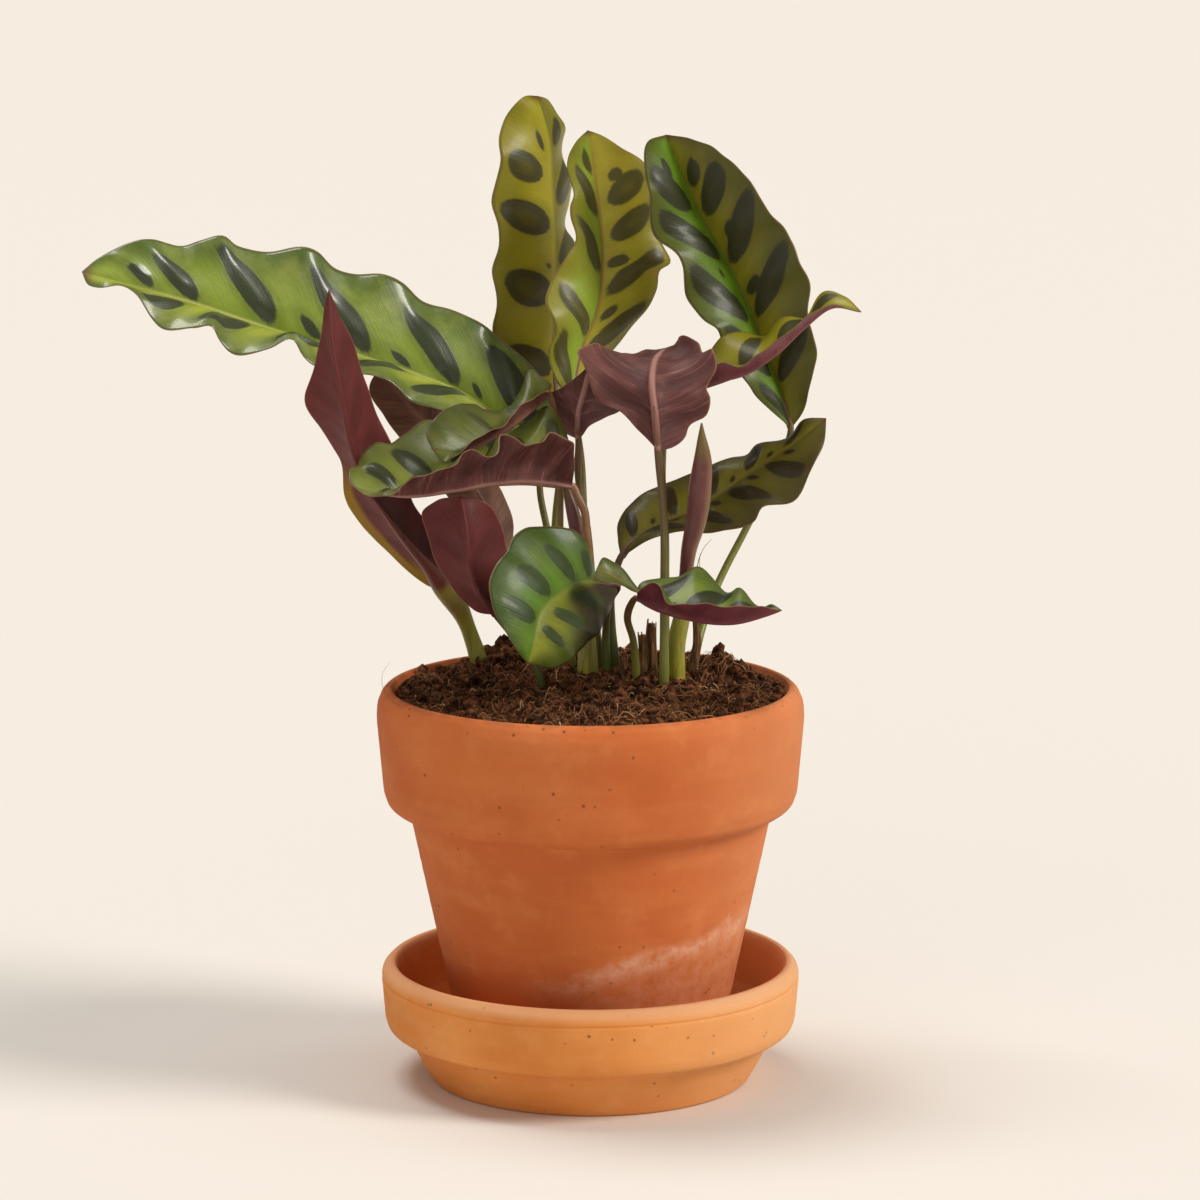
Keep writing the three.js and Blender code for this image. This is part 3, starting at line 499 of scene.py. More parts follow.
leaves = {
    "leaf_long_left": {
        "base": [-14, 48, 208], "tip": [-166, 18, 265],
        "stalk": [[-10, 26, 132], [-12, 30, 154], [-14, 34, 174], [-17, 40, 190], [-16, 46, 202]],
        "rib": [[-28, 47, 212], [-46, 45, 223], [-75, 40, 234], [-105, 34, 244], [-129, 28, 253],
            [-144, 24, 258]],
        "left": [[-27, 36, 208], [-44, 27, 217], [-51, 25, 218], [-59, 24, 222], [-67, 22, 229],
            [-78, 20, 230], [-89, 18, 234], [-94, 17, 238], [-98, 16, 242], [-106, 15, 239],
            [-115, 13, 239], [-121, 13, 243], [-124, 13, 247], [-130, 12, 246], [-138, 12, 247],
            [-143, 13, 251], [-148, 15, 257], [-154, 16, 260], [-161, 17, 260], [-164, 17, 261]],
        "right": [[-12, 53, 216], [-14, 54, 222], [-19, 55, 228], [-25, 56, 234], [-35, 56, 242],
            [-47, 56, 248], [-57, 55, 252], [-63, 54, 257], [-70, 53, 260], [-79, 51, 261], [-85, 49, 263],
            [-91, 48, 268], [-97, 46, 270], [-106, 44, 269], [-113, 43, 270], [-118, 42, 271],
            [-122, 41, 274], [-129, 38, 273], [-134, 36, 272], [-140, 34, 273], [-145, 31, 274],
            [-152, 28, 273], [-161, 22, 269]],
        "waves": {"left": (1, 6, 0.8), "right": (1.2, 6.5, 0.5)}, "thick": (1.8, 1.3),
    },
    "leaf_tall_wine": {
        "base": [-49, 26, 159], "tip": [-84, -6, 262],
        "stalk": [[-37, 30, 131], [-40, 30, 142], [-44, 28, 152]],
        "rib": [[-60, 16, 175], [-71, 6, 192], [-77, -4, 209], [-80, -10, 227], [-83, -10, 246]],
        "left": [[-45, 34, 156], [-50, 30, 173], [-58, 20, 189], [-62, 12, 202], [-65, 8, 209],
            [-71, 2, 227], [-77, -2, 243], [-81, -4, 254]],
        "right": [[-53, 27, 159], [-62, 26, 166], [-70, 24, 173], [-79, 18, 187], [-82, 10, 203],
            [-90, 2, 219], [-92, 0, 226], [-89, -2, 237], [-87, -4, 250]],
        "waves": {"left": (1, 3, 0.2), "right": (0.8, 3, 0.6)}, "thick": (2.6, 2.3),
    },
    "leaf_back_left": {
        "base": [-28, 40, 165], "tip": [-71, 54, 229],
        "stalk": [[-23, 38, 131], [-24, 38, 142], [-26, 38, 154]],
        "rib": [[-35, 46, 182], [-49, 52, 201], [-61, 55, 216]],
        "left": [[-26, 48, 171], [-30, 54, 187], [-38, 58, 202], [-49, 60, 215], [-61, 58, 225]],
        "right": [[-37, 44, 170], [-47, 46, 185], [-57, 48, 198], [-64, 50, 206], [-69, 50, 212],
            [-74, 50, 222]],
        "waves": {"left": (1.2, 3, 0.1), "right": (1, 3, 0.4)}, "thick": (1.7, 1.3),
    },
    "leaf_small_torn": {
        "base": [-14, 28, 224], "tip": [-51, -13, 211],
        "stalk": [[-6, 19, 133], [-9, 22, 155], [-10, 26, 178], [-10, 29, 195], [-11, 31, 211]],
        "rib": [[-23, 14, 217], [-33, 0, 212], [-42, -9, 209]],
        "left": [[-16, 20, 225], [-24, 6, 221], [-29, -4, 217], [-37, -12, 214], [-44, -15, 209],
            [-47, -15, 207]],
        "right": [[-13, 32, 226], [-17, 34, 229], [-20, 34, 231], [-23, 28, 225], [-29, 19, 219],
            [-37, 11, 222], [-45, 3, 223], [-49, -3, 221], [-53, -10, 216]],
        "waves": {"left": (0.4, 3, 0.3), "right": (0.6, 5, 0.1)}, "thick": (1.6, 1.2),
    },
    "leaf_front_left": {
        "base": [-6, 8, 196], "tip": [-77, -28, 202],
        "stalk": [[1, 0, 135], [0, 0, 153], [0, 2, 169], [-1, 4, 180], [-2, 6, 188], [-4, 7, 192]],
        "rib": [[-16, 2, 198], [-29, -6, 199], [-42, -14, 198], [-58, -22, 197], [-69, -26, 199]],
        "left": [[-5, -2, 206], [-5, -4, 211], [-9, -9, 214], [-13, -9, 216], [-16, -15, 213],
            [-20, -18, 212], [-24, -17, 215], [-28, -17, 216], [-30, -23, 211], [-33, -26, 210],
            [-37, -25, 212], [-40, -25, 211], [-43, -31, 208], [-49, -32, 207], [-54, -35, 205],
            [-59, -34, 202], [-64, -36, 199], [-70, -33, 199]],
        "right": [[-6, 18, 206], [-11, 23, 217], [-15, 24, 219], [-20, 22, 216], [-30, 18, 211],
            [-39, 16, 212], [-48, 16, 215], [-54, 14, 216], [-61, 8, 213], [-65, 2, 210], [-70, -6, 211],
            [-73, -12, 210], [-75, -17, 206], [-77, -22, 206]],
        "waves": {"left": (0.6, 4.5, 0.55), "right": (0.8, 4, 0.2)}, "thick": (1.8, 1.5),
    },
    "leaf_oval_wine": {
        "base": [-31, -8, 156], "tip": [-42, -9, 195],
        "stalk": [[-16, -8, 133], [-19, -8, 141], [-25, -8, 149]],
        "rib": [[-36, -12, 164], [-39, -15, 174], [-40, -14, 185]],
        "left": [[-28, -4, 161], [-26, -3, 171], [-27, -3, 178], [-30, -3, 187], [-35, -6, 193]],
        "right": [[-38, -6, 157], [-45, -6, 164], [-50, -6, 174], [-54, -4, 184], [-55, -3, 189],
            [-50, -5, 193]],
        "waves": {"left": (0.5, 2, 0.3), "right": (0.6, 2, 0.8)}, "thick": (1.7, 1.2),
    },
    "leaf_top_left": {
        "base": [-12, 74, 215], "tip": [-18, 78, 318],
        "stalk": [[-14, 42, 131], [-13, 48, 151], [-12, 56, 177], [-10, 66, 199]],
        "rib": [[-13, 76, 235], [-12, 78, 263], [-13, 80, 286], [-14, 80, 303]],
        "left": [[-22, 70, 217], [-31, 67, 233], [-33, 66, 241], [-32, 65, 250], [-33, 65, 259],
            [-31, 65, 270], [-33, 65, 283], [-31, 67, 294], [-31, 69, 303], [-29, 73, 310], [-25, 76, 316],
            [-22, 78, 318]],
        "right": [[-10, 84, 219], [-8, 94, 240], [-6, 94, 254], [-5, 93, 265], [-9, 98, 274],
            [-8, 98, 282], [-7, 93, 291], [-10, 95, 298], [-10, 89, 308], [-14, 84, 316]],
        "waves": {"left": (0.8, 5, 0.4), "right": (1, 5, 0.1)}, "thick": (1.8, 1.3),
    },
    "leaf_front_round": {
        "base": [9, 0, 164], "tip": [-20, -45, 147],
        "stalk": [[5, 8, 137], [5, 7, 148], [6, 4, 158]],
        "rib": [[2, -8, 167], [-3, -16, 168], [-8, -25, 167], [-13, -34, 165], [-16, -39, 162],
            [-18, -44, 154]],
        "left": [[8, -3, 161], [6, -8, 157], [3, -14, 152], [-1, -20, 149], [-5, -27, 146], [-9, -33, 144],
            [-13, -38, 144], [-17, -42, 146]],
        "right": [[4, -3, 167], [0, -6, 169], [-1, -8, 173], [-2, -10, 180], [-5, -12, 184],
            [-10, -15, 186], [-16, -19, 187], [-21, -24, 187], [-25, -30, 185], [-27, -34, 181],
            [-30, -40, 178], [-32, -46, 172], [-31, -49, 166], [-28, -50, 160], [-24, -49, 153]],
        "waves": {"left": (0.3, 3, 0.2), "right": (0.4, 3, 0.6)}, "thick": (1.7, 1.3),
    },
    "leaf_top_middle": {
        "base": [-6, 42, 222], "tip": [-1, 58, 308],
        "stalk": [[3, 28, 135], [0, 29, 154], [-2, 32, 181], [-3, 38, 200]],
        "rib": [[-3, 48, 236], [2, 54, 248], [4, 60, 263], [3, 62, 278], [1, 62, 293]],
        "left": [[-10, 39, 224], [-14, 40, 236], [-12, 41, 243], [-15, 42, 252], [-13, 46, 259],
            [-9, 49, 266], [-5, 52, 272], [-7, 54, 283], [-6, 56, 287], [-8, 58, 296], [-5, 58, 304]],
        "right": [[0, 52, 227], [8, 58, 235], [14, 60, 242], [19, 63, 248], [22, 65, 254], [23, 66, 260],
            [27, 67, 263], [24, 68, 269], [21, 69, 277], [19, 67, 295], [10, 63, 302], [4, 60, 306]],
        "waves": {"left": (0.6, 4, 0.1), "right": (0.6, 4, 0.6)}, "thick": (1.7, 1.2),
    },
    "leaf_top_right": {
        "base": [67, 48, 209], "tip": [25, 52, 307],
        "stalk": [[34, 12, 136], [41, 26, 157], [52, 38, 177], [62, 46, 195]],
        "rib": [[64, 50, 220], [58, 53, 235], [51, 56, 253], [42, 58, 270], [34, 58, 285], [29, 56, 297]],
        "left": [[62, 46, 214], [51, 44, 225], [42, 43, 242], [37, 43, 246], [33, 44, 252], [31, 44, 259],
            [29, 45, 266], [21, 46, 275], [19, 46, 284], [18, 47, 296], [19, 50, 305]],
        "right": [[71, 47, 215], [74, 45, 227], [75, 44, 238], [72, 44, 251], [73, 45, 258], [69, 45, 267],
            [64, 46, 277], [58, 46, 284], [54, 47, 290], [49, 48, 297], [40, 50, 303], [33, 51, 306]],
        "waves": {"left": (1, 5, 0.3), "right": (0.9, 6, 0.5)}, "thick": (1.8, 1.3),
    },
    "leaf_centre_wine": {
        "base": [22, 4, 208], "tip": [28, 48, 237],
        "stalk": [[24, -7, 135], [24, -4, 160], [24, -1, 183], [23, 2, 199]],
        "rib": [[21, 6, 220], [20, 10, 229], [21, 20, 235], [24, 34, 237]],
        "left": [[27, 6, 209], [31, 8, 212], [33, 9, 216], [38, 10, 219], [39, 10, 224], [38, 11, 228],
            [41, 13, 235], [40, 18, 239], [37, 22, 238], [35, 26, 242], [31, 32, 242], [29, 40, 240]],
        "right": [[16, 7, 214], [10, 9, 220], [2, 11, 224], [-1, 12, 232], [-4, 15, 240], [-1, 20, 241],
            [2, 24, 241], [5, 28, 238], [12, 34, 237], [20, 42, 236]],
        "waves": {"left": (0.9, 4, 0.5), "right": (0.8, 4, 0.2)}, "thick": (1.9, 1.6),
    },
    "leaf_strip_right": {
        "base": [31, 28, 224], "tip": [88, 8, 253],
        "stalk": [[25, 19, 132], [25, 26, 155], [25, 33, 177], [24, 36, 197], [26, 33, 217]],
        "rib": [[41, 26, 228], [51, 24, 231], [61, 21, 238], [70, 17, 247], [79, 12, 254]],
        "left": [[35, 33, 230], [40, 37, 237], [48, 38, 243], [58, 37, 242], [64, 34, 248], [71, 29, 249],
            [76, 23, 257], [82, 16, 258]],
        "right": [[37, 22, 230], [43, 17, 235], [49, 13, 235], [57, 11, 240], [65, 8, 247], [72, 6, 253],
            [80, 5, 255]],
        "waves": {"left": (0.8, 4, 0.2), "right": (0.4, 3, 0.7)}, "thick": (1.6, 1.2),
    },
    "leaf_low_right": {
        "base": [10, 10, 172], "tip": [78, 31, 215],
        "stalk": [[8, 13, 136], [7, 13, 149], [7, 11, 161]],
        "rib": [[16, 13, 179], [36, 19, 187], [56, 25, 200], [69, 29, 208]],
        "left": [[9, 15, 177], [9, 19, 182], [15, 24, 189], [22, 27, 192], [31, 29, 196], [39, 31, 199],
            [47, 33, 201], [52, 34, 202], [55, 35, 205], [66, 35, 209], [71, 34, 214]],
        "right": [[16, 8, 176], [24, 7, 179], [33, 8, 181], [42, 9, 181], [49, 10, 181], [54, 11, 183],
            [57, 13, 188], [67, 16, 190], [72, 21, 197], [77, 27, 207]],
        "waves": {"left": (0.6, 3, 0.3), "right": (1.2, 3, 0.8)}, "thick": (1.8, 1.4),
    },
    "leaf_front_right": {
        "base": [15, -16, 163], "tip": [61, -38, 163],
        "stalk": [[15, -5, 133], [14, -7, 147], [12, -10, 155], [13, -13, 160]],
        "rib": [[24, -24, 160], [35, -30, 158], [46, -34, 158], [56, -37, 161]],
        "left": [[16, -14, 167], [21, -12, 169], [29, -10, 169], [36, -9, 171], [44, -15, 165],
            [49, -21, 166], [53, -28, 163], [58, -34, 164]],
        "right": [[16, -23, 167], [21, -29, 170], [25, -35, 165], [35, -40, 165], [48, -42, 165],
            [56, -41, 164]],
        "lobe": {
            "base": [17, -18, 164], "tip": [2, -24, 174],
            "rib": [[10, -21, 169], [6, -23, 172]],
            "left": [[11, -24, 168], [5, -27, 170], [1, -27, 171]],
            "right": [[12, -18, 171], [8, -19, 175], [4, -21, 177]],
        },
        "waves": {"left": (0.8, 3, 0.2), "right": (0.4, 3, 0.6)}, "thick": (1.7, 1.3),
    },
    "leaf_middle_brown": {
        "base": [-4, 29, 208], "tip": [5, 28, 235],
        "stalk": [[3, 15, 135], [1, 18, 156], [-1, 22, 179], [-4, 26, 195]],
        "rib": [[-4, 31, 216], [-2, 33, 224], [0, 32, 231]],
        "left": [[0, 27, 213], [5, 26, 216], [10, 26, 219], [12, 27, 225], [10, 28, 232]],
        "right": [[-10, 34, 211], [-12, 36, 216], [-14, 37, 222], [-10, 37, 224], [-4, 35, 229],
            [1, 31, 234]],
        "waves": {"left": (0.5, 2, 0.3), "right": (0.5, 2, 0.7)}, "thick": (1.7, 1.4),
    },
}

# Ovals of each half, from beside the midrib to near the margin. Both ends are shares of the blade's
# length and of the half's width, and the last number is half the oval's width in millimetres.
ovals = {
    "leaf_long_left": {
        "right": [
            (0.86, 0.05, 0.90, 0.48, 2.0), (0.77, 0.02, 0.85, 0.72, 3.3), (0.61, 0.04, 0.73, 0.88, 4.3),
            (0.51, 0.04, 0.55, 0.26, 2.2), (0.41, 0.04, 0.56, 0.84, 4.3), (0.32, 0.04, 0.36, 0.20, 1.6),
            (0.22, 0.04, 0.37, 0.80, 4.4), (0.16, 0.06, 0.19, 0.22, 1.3), (0.05, 0.12, 0.19, 0.86, 6.2),
        ],
        "left": [
            (0.80, 0.10, 0.86, 0.75, 3.2), (0.66, 0.08, 0.74, 0.80, 3.8), (0.49, 0.08, 0.58, 0.80, 3.8),
            (0.33, 0.08, 0.43, 0.80, 3.8), (0.20, 0.10, 0.30, 0.80, 3.8),
        ],
    },
    "leaf_top_left": {
        "left": [
            (0.82, 0.15, 0.86, 0.33, 1.4), (0.74, 0.22, 0.76, 0.88, 4.6), (0.58, 0.10, 0.62, 0.92, 5.2),
            (0.44, 0.08, 0.45, 0.19, 1.0), (0.36, 0.06, 0.42, 0.86, 5.8), (0.12, 0.08, 0.22, 0.92, 5.0),
        ],
        "right": [
            (0.66, 0.08, 0.72, 0.90, 4.6), (0.46, 0.08, 0.52, 0.90, 4.8), (0.26, 0.08, 0.32, 0.90, 4.8),
            (0.84, 0.10, 0.88, 0.70, 2.6), (0.08, 0.10, 0.14, 0.85, 4.0),
        ],
    },
    "leaf_top_middle": {
        "right": [
            (0.80, 0.24, 0.81, 0.55, 2.0), (0.73, 0.16, 0.77, 0.88, 3.9), (0.60, 0.12, 0.67, 0.96, 3.5),
            (0.50, 0.05, 0.52, 0.38, 2.0), (0.40, 0.08, 0.54, 0.93, 3.3), (0.30, 0.10, 0.34, 0.40, 1.7),
            (0.16, 0.10, 0.35, 0.96, 3.2),
        ],
        "left": [
            (0.85, 0.04, 0.91, 0.48, 1.7), (0.70, 0.05, 0.84, 0.76, 2.7), (0.48, 0.05, 0.67, 0.86, 2.6),
            (0.23, 0.04, 0.42, 0.86, 3.6), (0.02, 0.30, 0.22, 0.90, 3.4),
        ],
    },
    "leaf_top_right": {
        "left": [
            (0.86, 0.33, 0.89, 0.58, 1.7), (0.76, 0.12, 0.85, 0.92, 4.0), (0.59, 0.08, 0.72, 0.87, 4.6),
            (0.51, 0.22, 0.53, 0.30, 1.0), (0.38, 0.12, 0.54, 0.90, 4.9), (0.20, 0.10, 0.34, 0.88, 4.4),
            (0.04, 0.15, 0.14, 0.80, 3.0),
        ],
        "right": [
            (0.82, 0.08, 0.87, 0.53, 2.6), (0.72, 0.08, 0.82, 0.84, 3.9), (0.63, 0.24, 0.66, 0.46, 1.7),
            (0.55, 0.06, 0.71, 0.96, 4.0), (0.44, 0.08, 0.48, 0.40, 2.0), (0.37, 0.08, 0.54, 0.95, 4.0),
            (0.16, 0.10, 0.30, 0.95, 3.6),
        ],
    },
    "leaf_front_round": {
        "right": [
            (0.39, 0.05, 0.44, 0.70, 3.0), (0.61, 0.05, 0.61, 0.75, 3.2), (0.78, 0.06, 0.76, 0.75, 3.0),
            (0.25, 0.08, 0.26, 0.66, 2.6), (0.12, 0.10, 0.12, 0.60, 2.0),
        ],
        "left": [
            (0.65, 0.10, 0.47, 0.70, 2.4), (0.79, 0.10, 0.69, 0.70, 2.4), (0.41, 0.10, 0.26, 0.60, 2.2),
        ],
    },
    "leaf_front_left": {
        "right": [
            (0.10, 0.10, 0.22, 0.85, 4.0), (0.28, 0.08, 0.40, 0.85, 4.4), (0.46, 0.08, 0.58, 0.85, 4.2),
            (0.64, 0.08, 0.74, 0.80, 3.4), (0.80, 0.10, 0.88, 0.70, 2.4),
        ],
        "left": [
            (0.08, 0.08, 0.12, 0.90, 2.4), (0.19, 0.08, 0.23, 0.90, 2.6), (0.30, 0.08, 0.34, 0.90, 2.6),
            (0.41, 0.08, 0.45, 0.90, 2.5), (0.52, 0.08, 0.56, 0.90, 2.5), (0.63, 0.08, 0.67, 0.90, 2.3),
            (0.74, 0.08, 0.78, 0.90, 2.0), (0.85, 0.10, 0.88, 0.80, 1.6),
        ],
    },
    "leaf_small_torn": {
        "left": [(0.45, 0.10, 0.56, 0.85, 2.0), (0.70, 0.10, 0.78, 0.80, 1.6)],
        "right": [(0.30, 0.10, 0.40, 0.80, 2.2), (0.56, 0.10, 0.68, 0.80, 1.6)],
    },
}
# Where none are listed, they are evenly placed
regularOvals = {"pitch": 15.0, "first": 0.1, "last": 0.84, "large": 3.9, "small": 1.7}


def coat(upper, lower, ribbed=0.3, gloss=0.1, shine=0.24, striped=0.22, dark=False, strip=False):
    # dark is painted shade on the base of a blade and the half beside it; strip is an amber strip on the
    # underside's margin, partly its own colour and partly painted light shining through the blade
    parts = ("left", "right", "outer", "oval", "rib", "under", "vein")
    tones = {part: tone(*seen) for part, seen in zip(parts, upper + lower)}
    return {**tones, "ribbed": ribbed, "gloss": gloss, "shine": shine, "striped": striped,
            "dark": dark, "strip": strip}


# Upper face: the left half, the right half, the part near the margin, the ovals and the midrib. Then the
# underside and its veins. Where the two halves differ, it is partly their own colour and partly painted light
# and shade, one half facing the lamps more than the other; the yellow and olive of the top leaves are partly
# painted light shining through the blade.
wineUpper = [(118, 124, 46), (118, 124, 46), (84, 88, 30), (44, 46, 24), (140, 140, 70)]
wineLower = [(100, 40, 38), (118, 60, 54)]
coats = {
    "bright": coat([(152, 162, 50), (132, 152, 36), (62, 80, 18), (36, 44, 22), (176, 182, 92)],
                   [(96, 46, 44), (136, 88, 76)], ribbed=0.35, gloss=0.5, shine=0.4),
    "fresh": coat([(128, 146, 44), (112, 134, 34), (56, 70, 20), (34, 40, 20), (140, 146, 70)],
                  [(112, 54, 62), (146, 88, 84)]),
    "olive": coat([(158, 150, 28), (110, 106, 24), (122, 114, 20), (58, 56, 26), (136, 126, 34)],
                  [(126, 64, 72), (160, 104, 96)]),
    "yellow": coat([(134, 162, 40), (170, 160, 40), (130, 124, 28), (70, 66, 28), (150, 116, 52)],
                   [(120, 62, 66), (160, 104, 92)]),
    "mixed": coat([(104, 146, 24), (128, 122, 24), (74, 72, 18), (46, 46, 26), (88, 100, 32)],
                  [(96, 46, 44), (140, 92, 76)]),
    "glossy": coat([(128, 134, 34), (86, 120, 28), (50, 64, 20), (48, 62, 28), (108, 118, 44)],
                   [(92, 46, 42), (140, 92, 76)], dark=True),
    "pale": coat([(84, 92, 28), (92, 100, 32), (60, 66, 22), (56, 62, 24), (112, 100, 50)],
                 [(104, 60, 52), (144, 100, 84)], striped=0.85),
    "dark": coat([(108, 102, 24), (88, 84, 20), (66, 56, 16), (40, 32, 12), (96, 84, 30)],
                 [(96, 52, 50), (126, 84, 72)]),
    "shaded": coat([(84, 84, 32), (84, 84, 32), (62, 60, 24), (40, 38, 20), (96, 90, 40)],
                   [(138, 98, 78), (168, 126, 100)], ribbed=0.45),
    "ribbedWine": coat([(112, 122, 44), (112, 122, 44), (76, 80, 24), (44, 46, 24), (140, 140, 70)],
                       [(106, 60, 56), (162, 118, 106)], ribbed=0.95),
    "plainWine": coat(wineUpper, wineLower, ribbed=0.2),
    "tallWine": coat(wineUpper, wineLower, ribbed=0.2, strip=True),
}
wearAndPaintedLight = {
    "rim": tone(140, 104, 70),
    "underRim": tone(150, 108, 84),
    "tip": tone(98, 50, 36),
    # painted shade for a blade's base
    "paintedShadeBase": tone(50, 39, 17),
    # partly painted light shining through the blade
    "amber": tone(146, 112, 22),
}
stems = {  # colours of a stalk at the soil, at the blade and under the blade
    "green": [(122, 130, 40), (104, 90, 34), (120, 74, 60)],
    "yellow": [(138, 138, 40), (140, 126, 40), (108, 52, 44)],
    "amber": [(126, 122, 38), (142, 98, 58), (140, 92, 70)],
    "dark": [(84, 96, 30), (86, 58, 36), (92, 48, 40)],
    "brown": [(112, 112, 36), (98, 76, 36), (130, 82, 66)],
}
habits = {  # coat, stem, height of the folds between the side veins in mm
    "leaf_long_left": ("bright", "green", 1.1),
    "leaf_tall_wine": ("tallWine", "yellow", 0.25),
    "leaf_back_left": ("shaded", "dark", 0.4),
    "leaf_small_torn": ("pale", "amber", 0.3),
    "leaf_front_left": ("ribbedWine", "amber", 1.5),
    "leaf_oval_wine": ("plainWine", "dark", 0.3),
    "leaf_top_left": ("olive", "green", 0.45),
    "leaf_front_round": ("glossy", "dark", 0.6),
    "leaf_top_middle": ("yellow", "green", 0.6),
    "leaf_top_right": ("mixed", "green", 0.6),
    "leaf_centre_wine": ("ribbedWine", "brown", 1.0),
    "leaf_strip_right": ("olive", "brown", 0.4),
    "leaf_low_right": ("dark", "dark", 0.6),
    "leaf_front_right": ("fresh", "brown", 0.6),
    "leaf_middle_brown": ("ribbedWine", "brown", 0.5),
}
blade = {
    "arch": 0.07,
    "fewestRows": 50,
    "rowsPerMm": 0.75,
    "mostRows": 170,
    "cells": 28,
    "ribThickness": 0.42,
    "edgeThickness": 0.22,
    "sideVeinLead": 0.55,  # how far a side vein leans to the tip, as a share of the half's width
    "ribHeight": 1.05,
    "ribWidth": 1.15,
    "groove": 0.3,
    "grooveWidth": 0.8,
    "smallWave": 0.25,
    "smallWaves": 2.3,  # for each large one
    "swell": 0.75,  # of a fold's height, over an oval
    "crease": 0.3,  # of a fold's height, along its side vein
    "creaseWidth": 1.7,
    "unmarked": -9.0,
}
lobe = {"rows": 40, "cells": 10, "fold": 0.2, "coat": "pale"}
stalks = {
    "sides": 14,
    "step": 1.6,
    "flat": 0.92,
    "rootDepth": 12,
    "tailRows": (0.12, 0.26, 0.4),  # where the stalk runs on under the blade, as shares of its length
    "tailGap": 0.4,
    "tailRadius": 0.35,
    "slim": 0.8,
    "wide": {"leaf_tall_wine": (1.05, 0.45)},  # a flared stalk clasps its blade
    "kneeBelow": 7,
    "kneeLength": 5,
    "kneeSwell": 0.16,
    "footAbove": 12,
    "footLength": 9,
    "footSwell": 0.18,
    "knee": tone(104, 68, 42),
    "streak": tone(58, 46, 22),
    "buried": tone(60, 42, 24),
}


def leafLine(leaf, part):
    return smoothLine([leaf["base"], *leaf[part], leaf["tip"]])


def markPlaces(name, side, length, width, ahead):  # the ovals of a half, listed or evenly placed
    listed = ovals.get(name, {}).get(side)
    if listed is not None:
        return listed
    lean = (blade["sideVeinLead"] * width - ahead) / length
    pitch = regularOvals["pitch"] / length
    size = min(1.0, width / 22)
    start = regularOvals["first"] * (1 if side == "left" else 1.6)
    made = []
    while start < regularOvals["last"]:
        fade = min(1.0, (1 - start) * 3.2) * size
        made.append((start, 0.06, start + lean * 0.8, 0.86, regularOvals["large"] * fade))
        middle = start + pitch / 2
        if middle < regularOvals["last"]:
            made.append((middle, 0.05, middle + lean * 0.2, 0.25, regularOvals["small"] * fade))
        start += pitch
    return made


def markHalf(marks, along, across, length, width, forward):  # depth inside the ovals, relief, side veins
    lengthways = along[:, None] * length
    mark = np.full((len(along), len(across)), blade["unmarked"])
    relief = np.zeros_like(mark)
    starts, leans = [], []
    for first, inner, last, outer, size in marks:
        part = (across - inner) / (outer - inner)
        offset = lengthways - (first + (last - first) * part)[None] * length
        row = min(len(along) - 1, int(np.searchsorted(along, (first + last) / 2)))
        run = (last - first) * length + (outer - inner) * forward[row]
        rise = (outer - inner) * math.sqrt(max(width[row] ** 2 - forward[row] ** 2, 1))
        wide = size / max(0.35, abs(rise) / math.hypot(run, rise))
        far = np.abs(2 * part - 1)[None] ** 2.3 + (offset / wide) ** 2
        mark = np.maximum(mark, (1 - np.sqrt(far)) * size)
        if outer - inner > 0.35:
            starts.append(first)
            leans.append((last - first) * length / (outer - inner))
            relief += blade["swell"] * hump(offset, wide * 1.25)
            relief += blade["crease"] * hump(offset, blade["creaseWidth"])
    lean = blade["sideVeinLead"] * width - forward
    if starts:
        order = np.argsort(starts)
        lean = np.interp(along, np.array(starts)[order], np.array(leans)[order])
    ends = ease(0.02, 0.1, along) * (1 - ease(0.9, 0.99, along))
    relief = relief * (ease(0.03, 0.3, across) * (1 - 0.35 * ease(0.75, 1, across)))[None] * ends[:, None]
    return mark, relief, lengthways - lean[:, None] * across[None]


def bladeHalf(name, leaf, side, along, across, middle, fold):
    turn = {"left": -1, "right": 1}[side]
    length = lengthOf(leafLine(leaf, "rib"))
    ahead = unit(np.gradient(middle, axis=0))
    chord = spread(leafLine(leaf, side), along) - middle
    width = np.linalg.norm(chord, axis=1)
    forward = (chord * ahead).sum(axis=1)
    up = unit(np.cross(chord, ahead)) * turn
    height, count, phase = leaf.get("waves", {}).get(side, (0, 1, 0))
    fade = np.minimum(1, np.minimum(along * 6, (1 - along) * 8))
    ripple = height * fade * np.sin(2 * np.pi * (count * along + phase))
    small = blade["smallWave"] * fade * np.sin(
        2 * np.pi * (count * blade["smallWaves"] * along + phase * 3 + 0.2))
    half = (len(along) - 1) // 2
    marks = markPlaces(name, side, length, width[half], forward[half])
    mark, relief, vein = markHalf(marks, along, across, length, width, forward)
    lift = (blade["arch"] * (4 * across * (1 - across))[None] * width[:, None]
            + (ripple[:, None] + small[:, None] * across[None] ** 2) * (across**2)[None]
            + fold * relief * np.minimum(1, width / 14)[:, None])
    places = middle[:, None] + chord[:, None] * across[None, :, None] + up[:, None] * lift[..., None]
    return {"places": places, "vein": vein, "mark": mark, "inward": across[None] * width[:, None]}


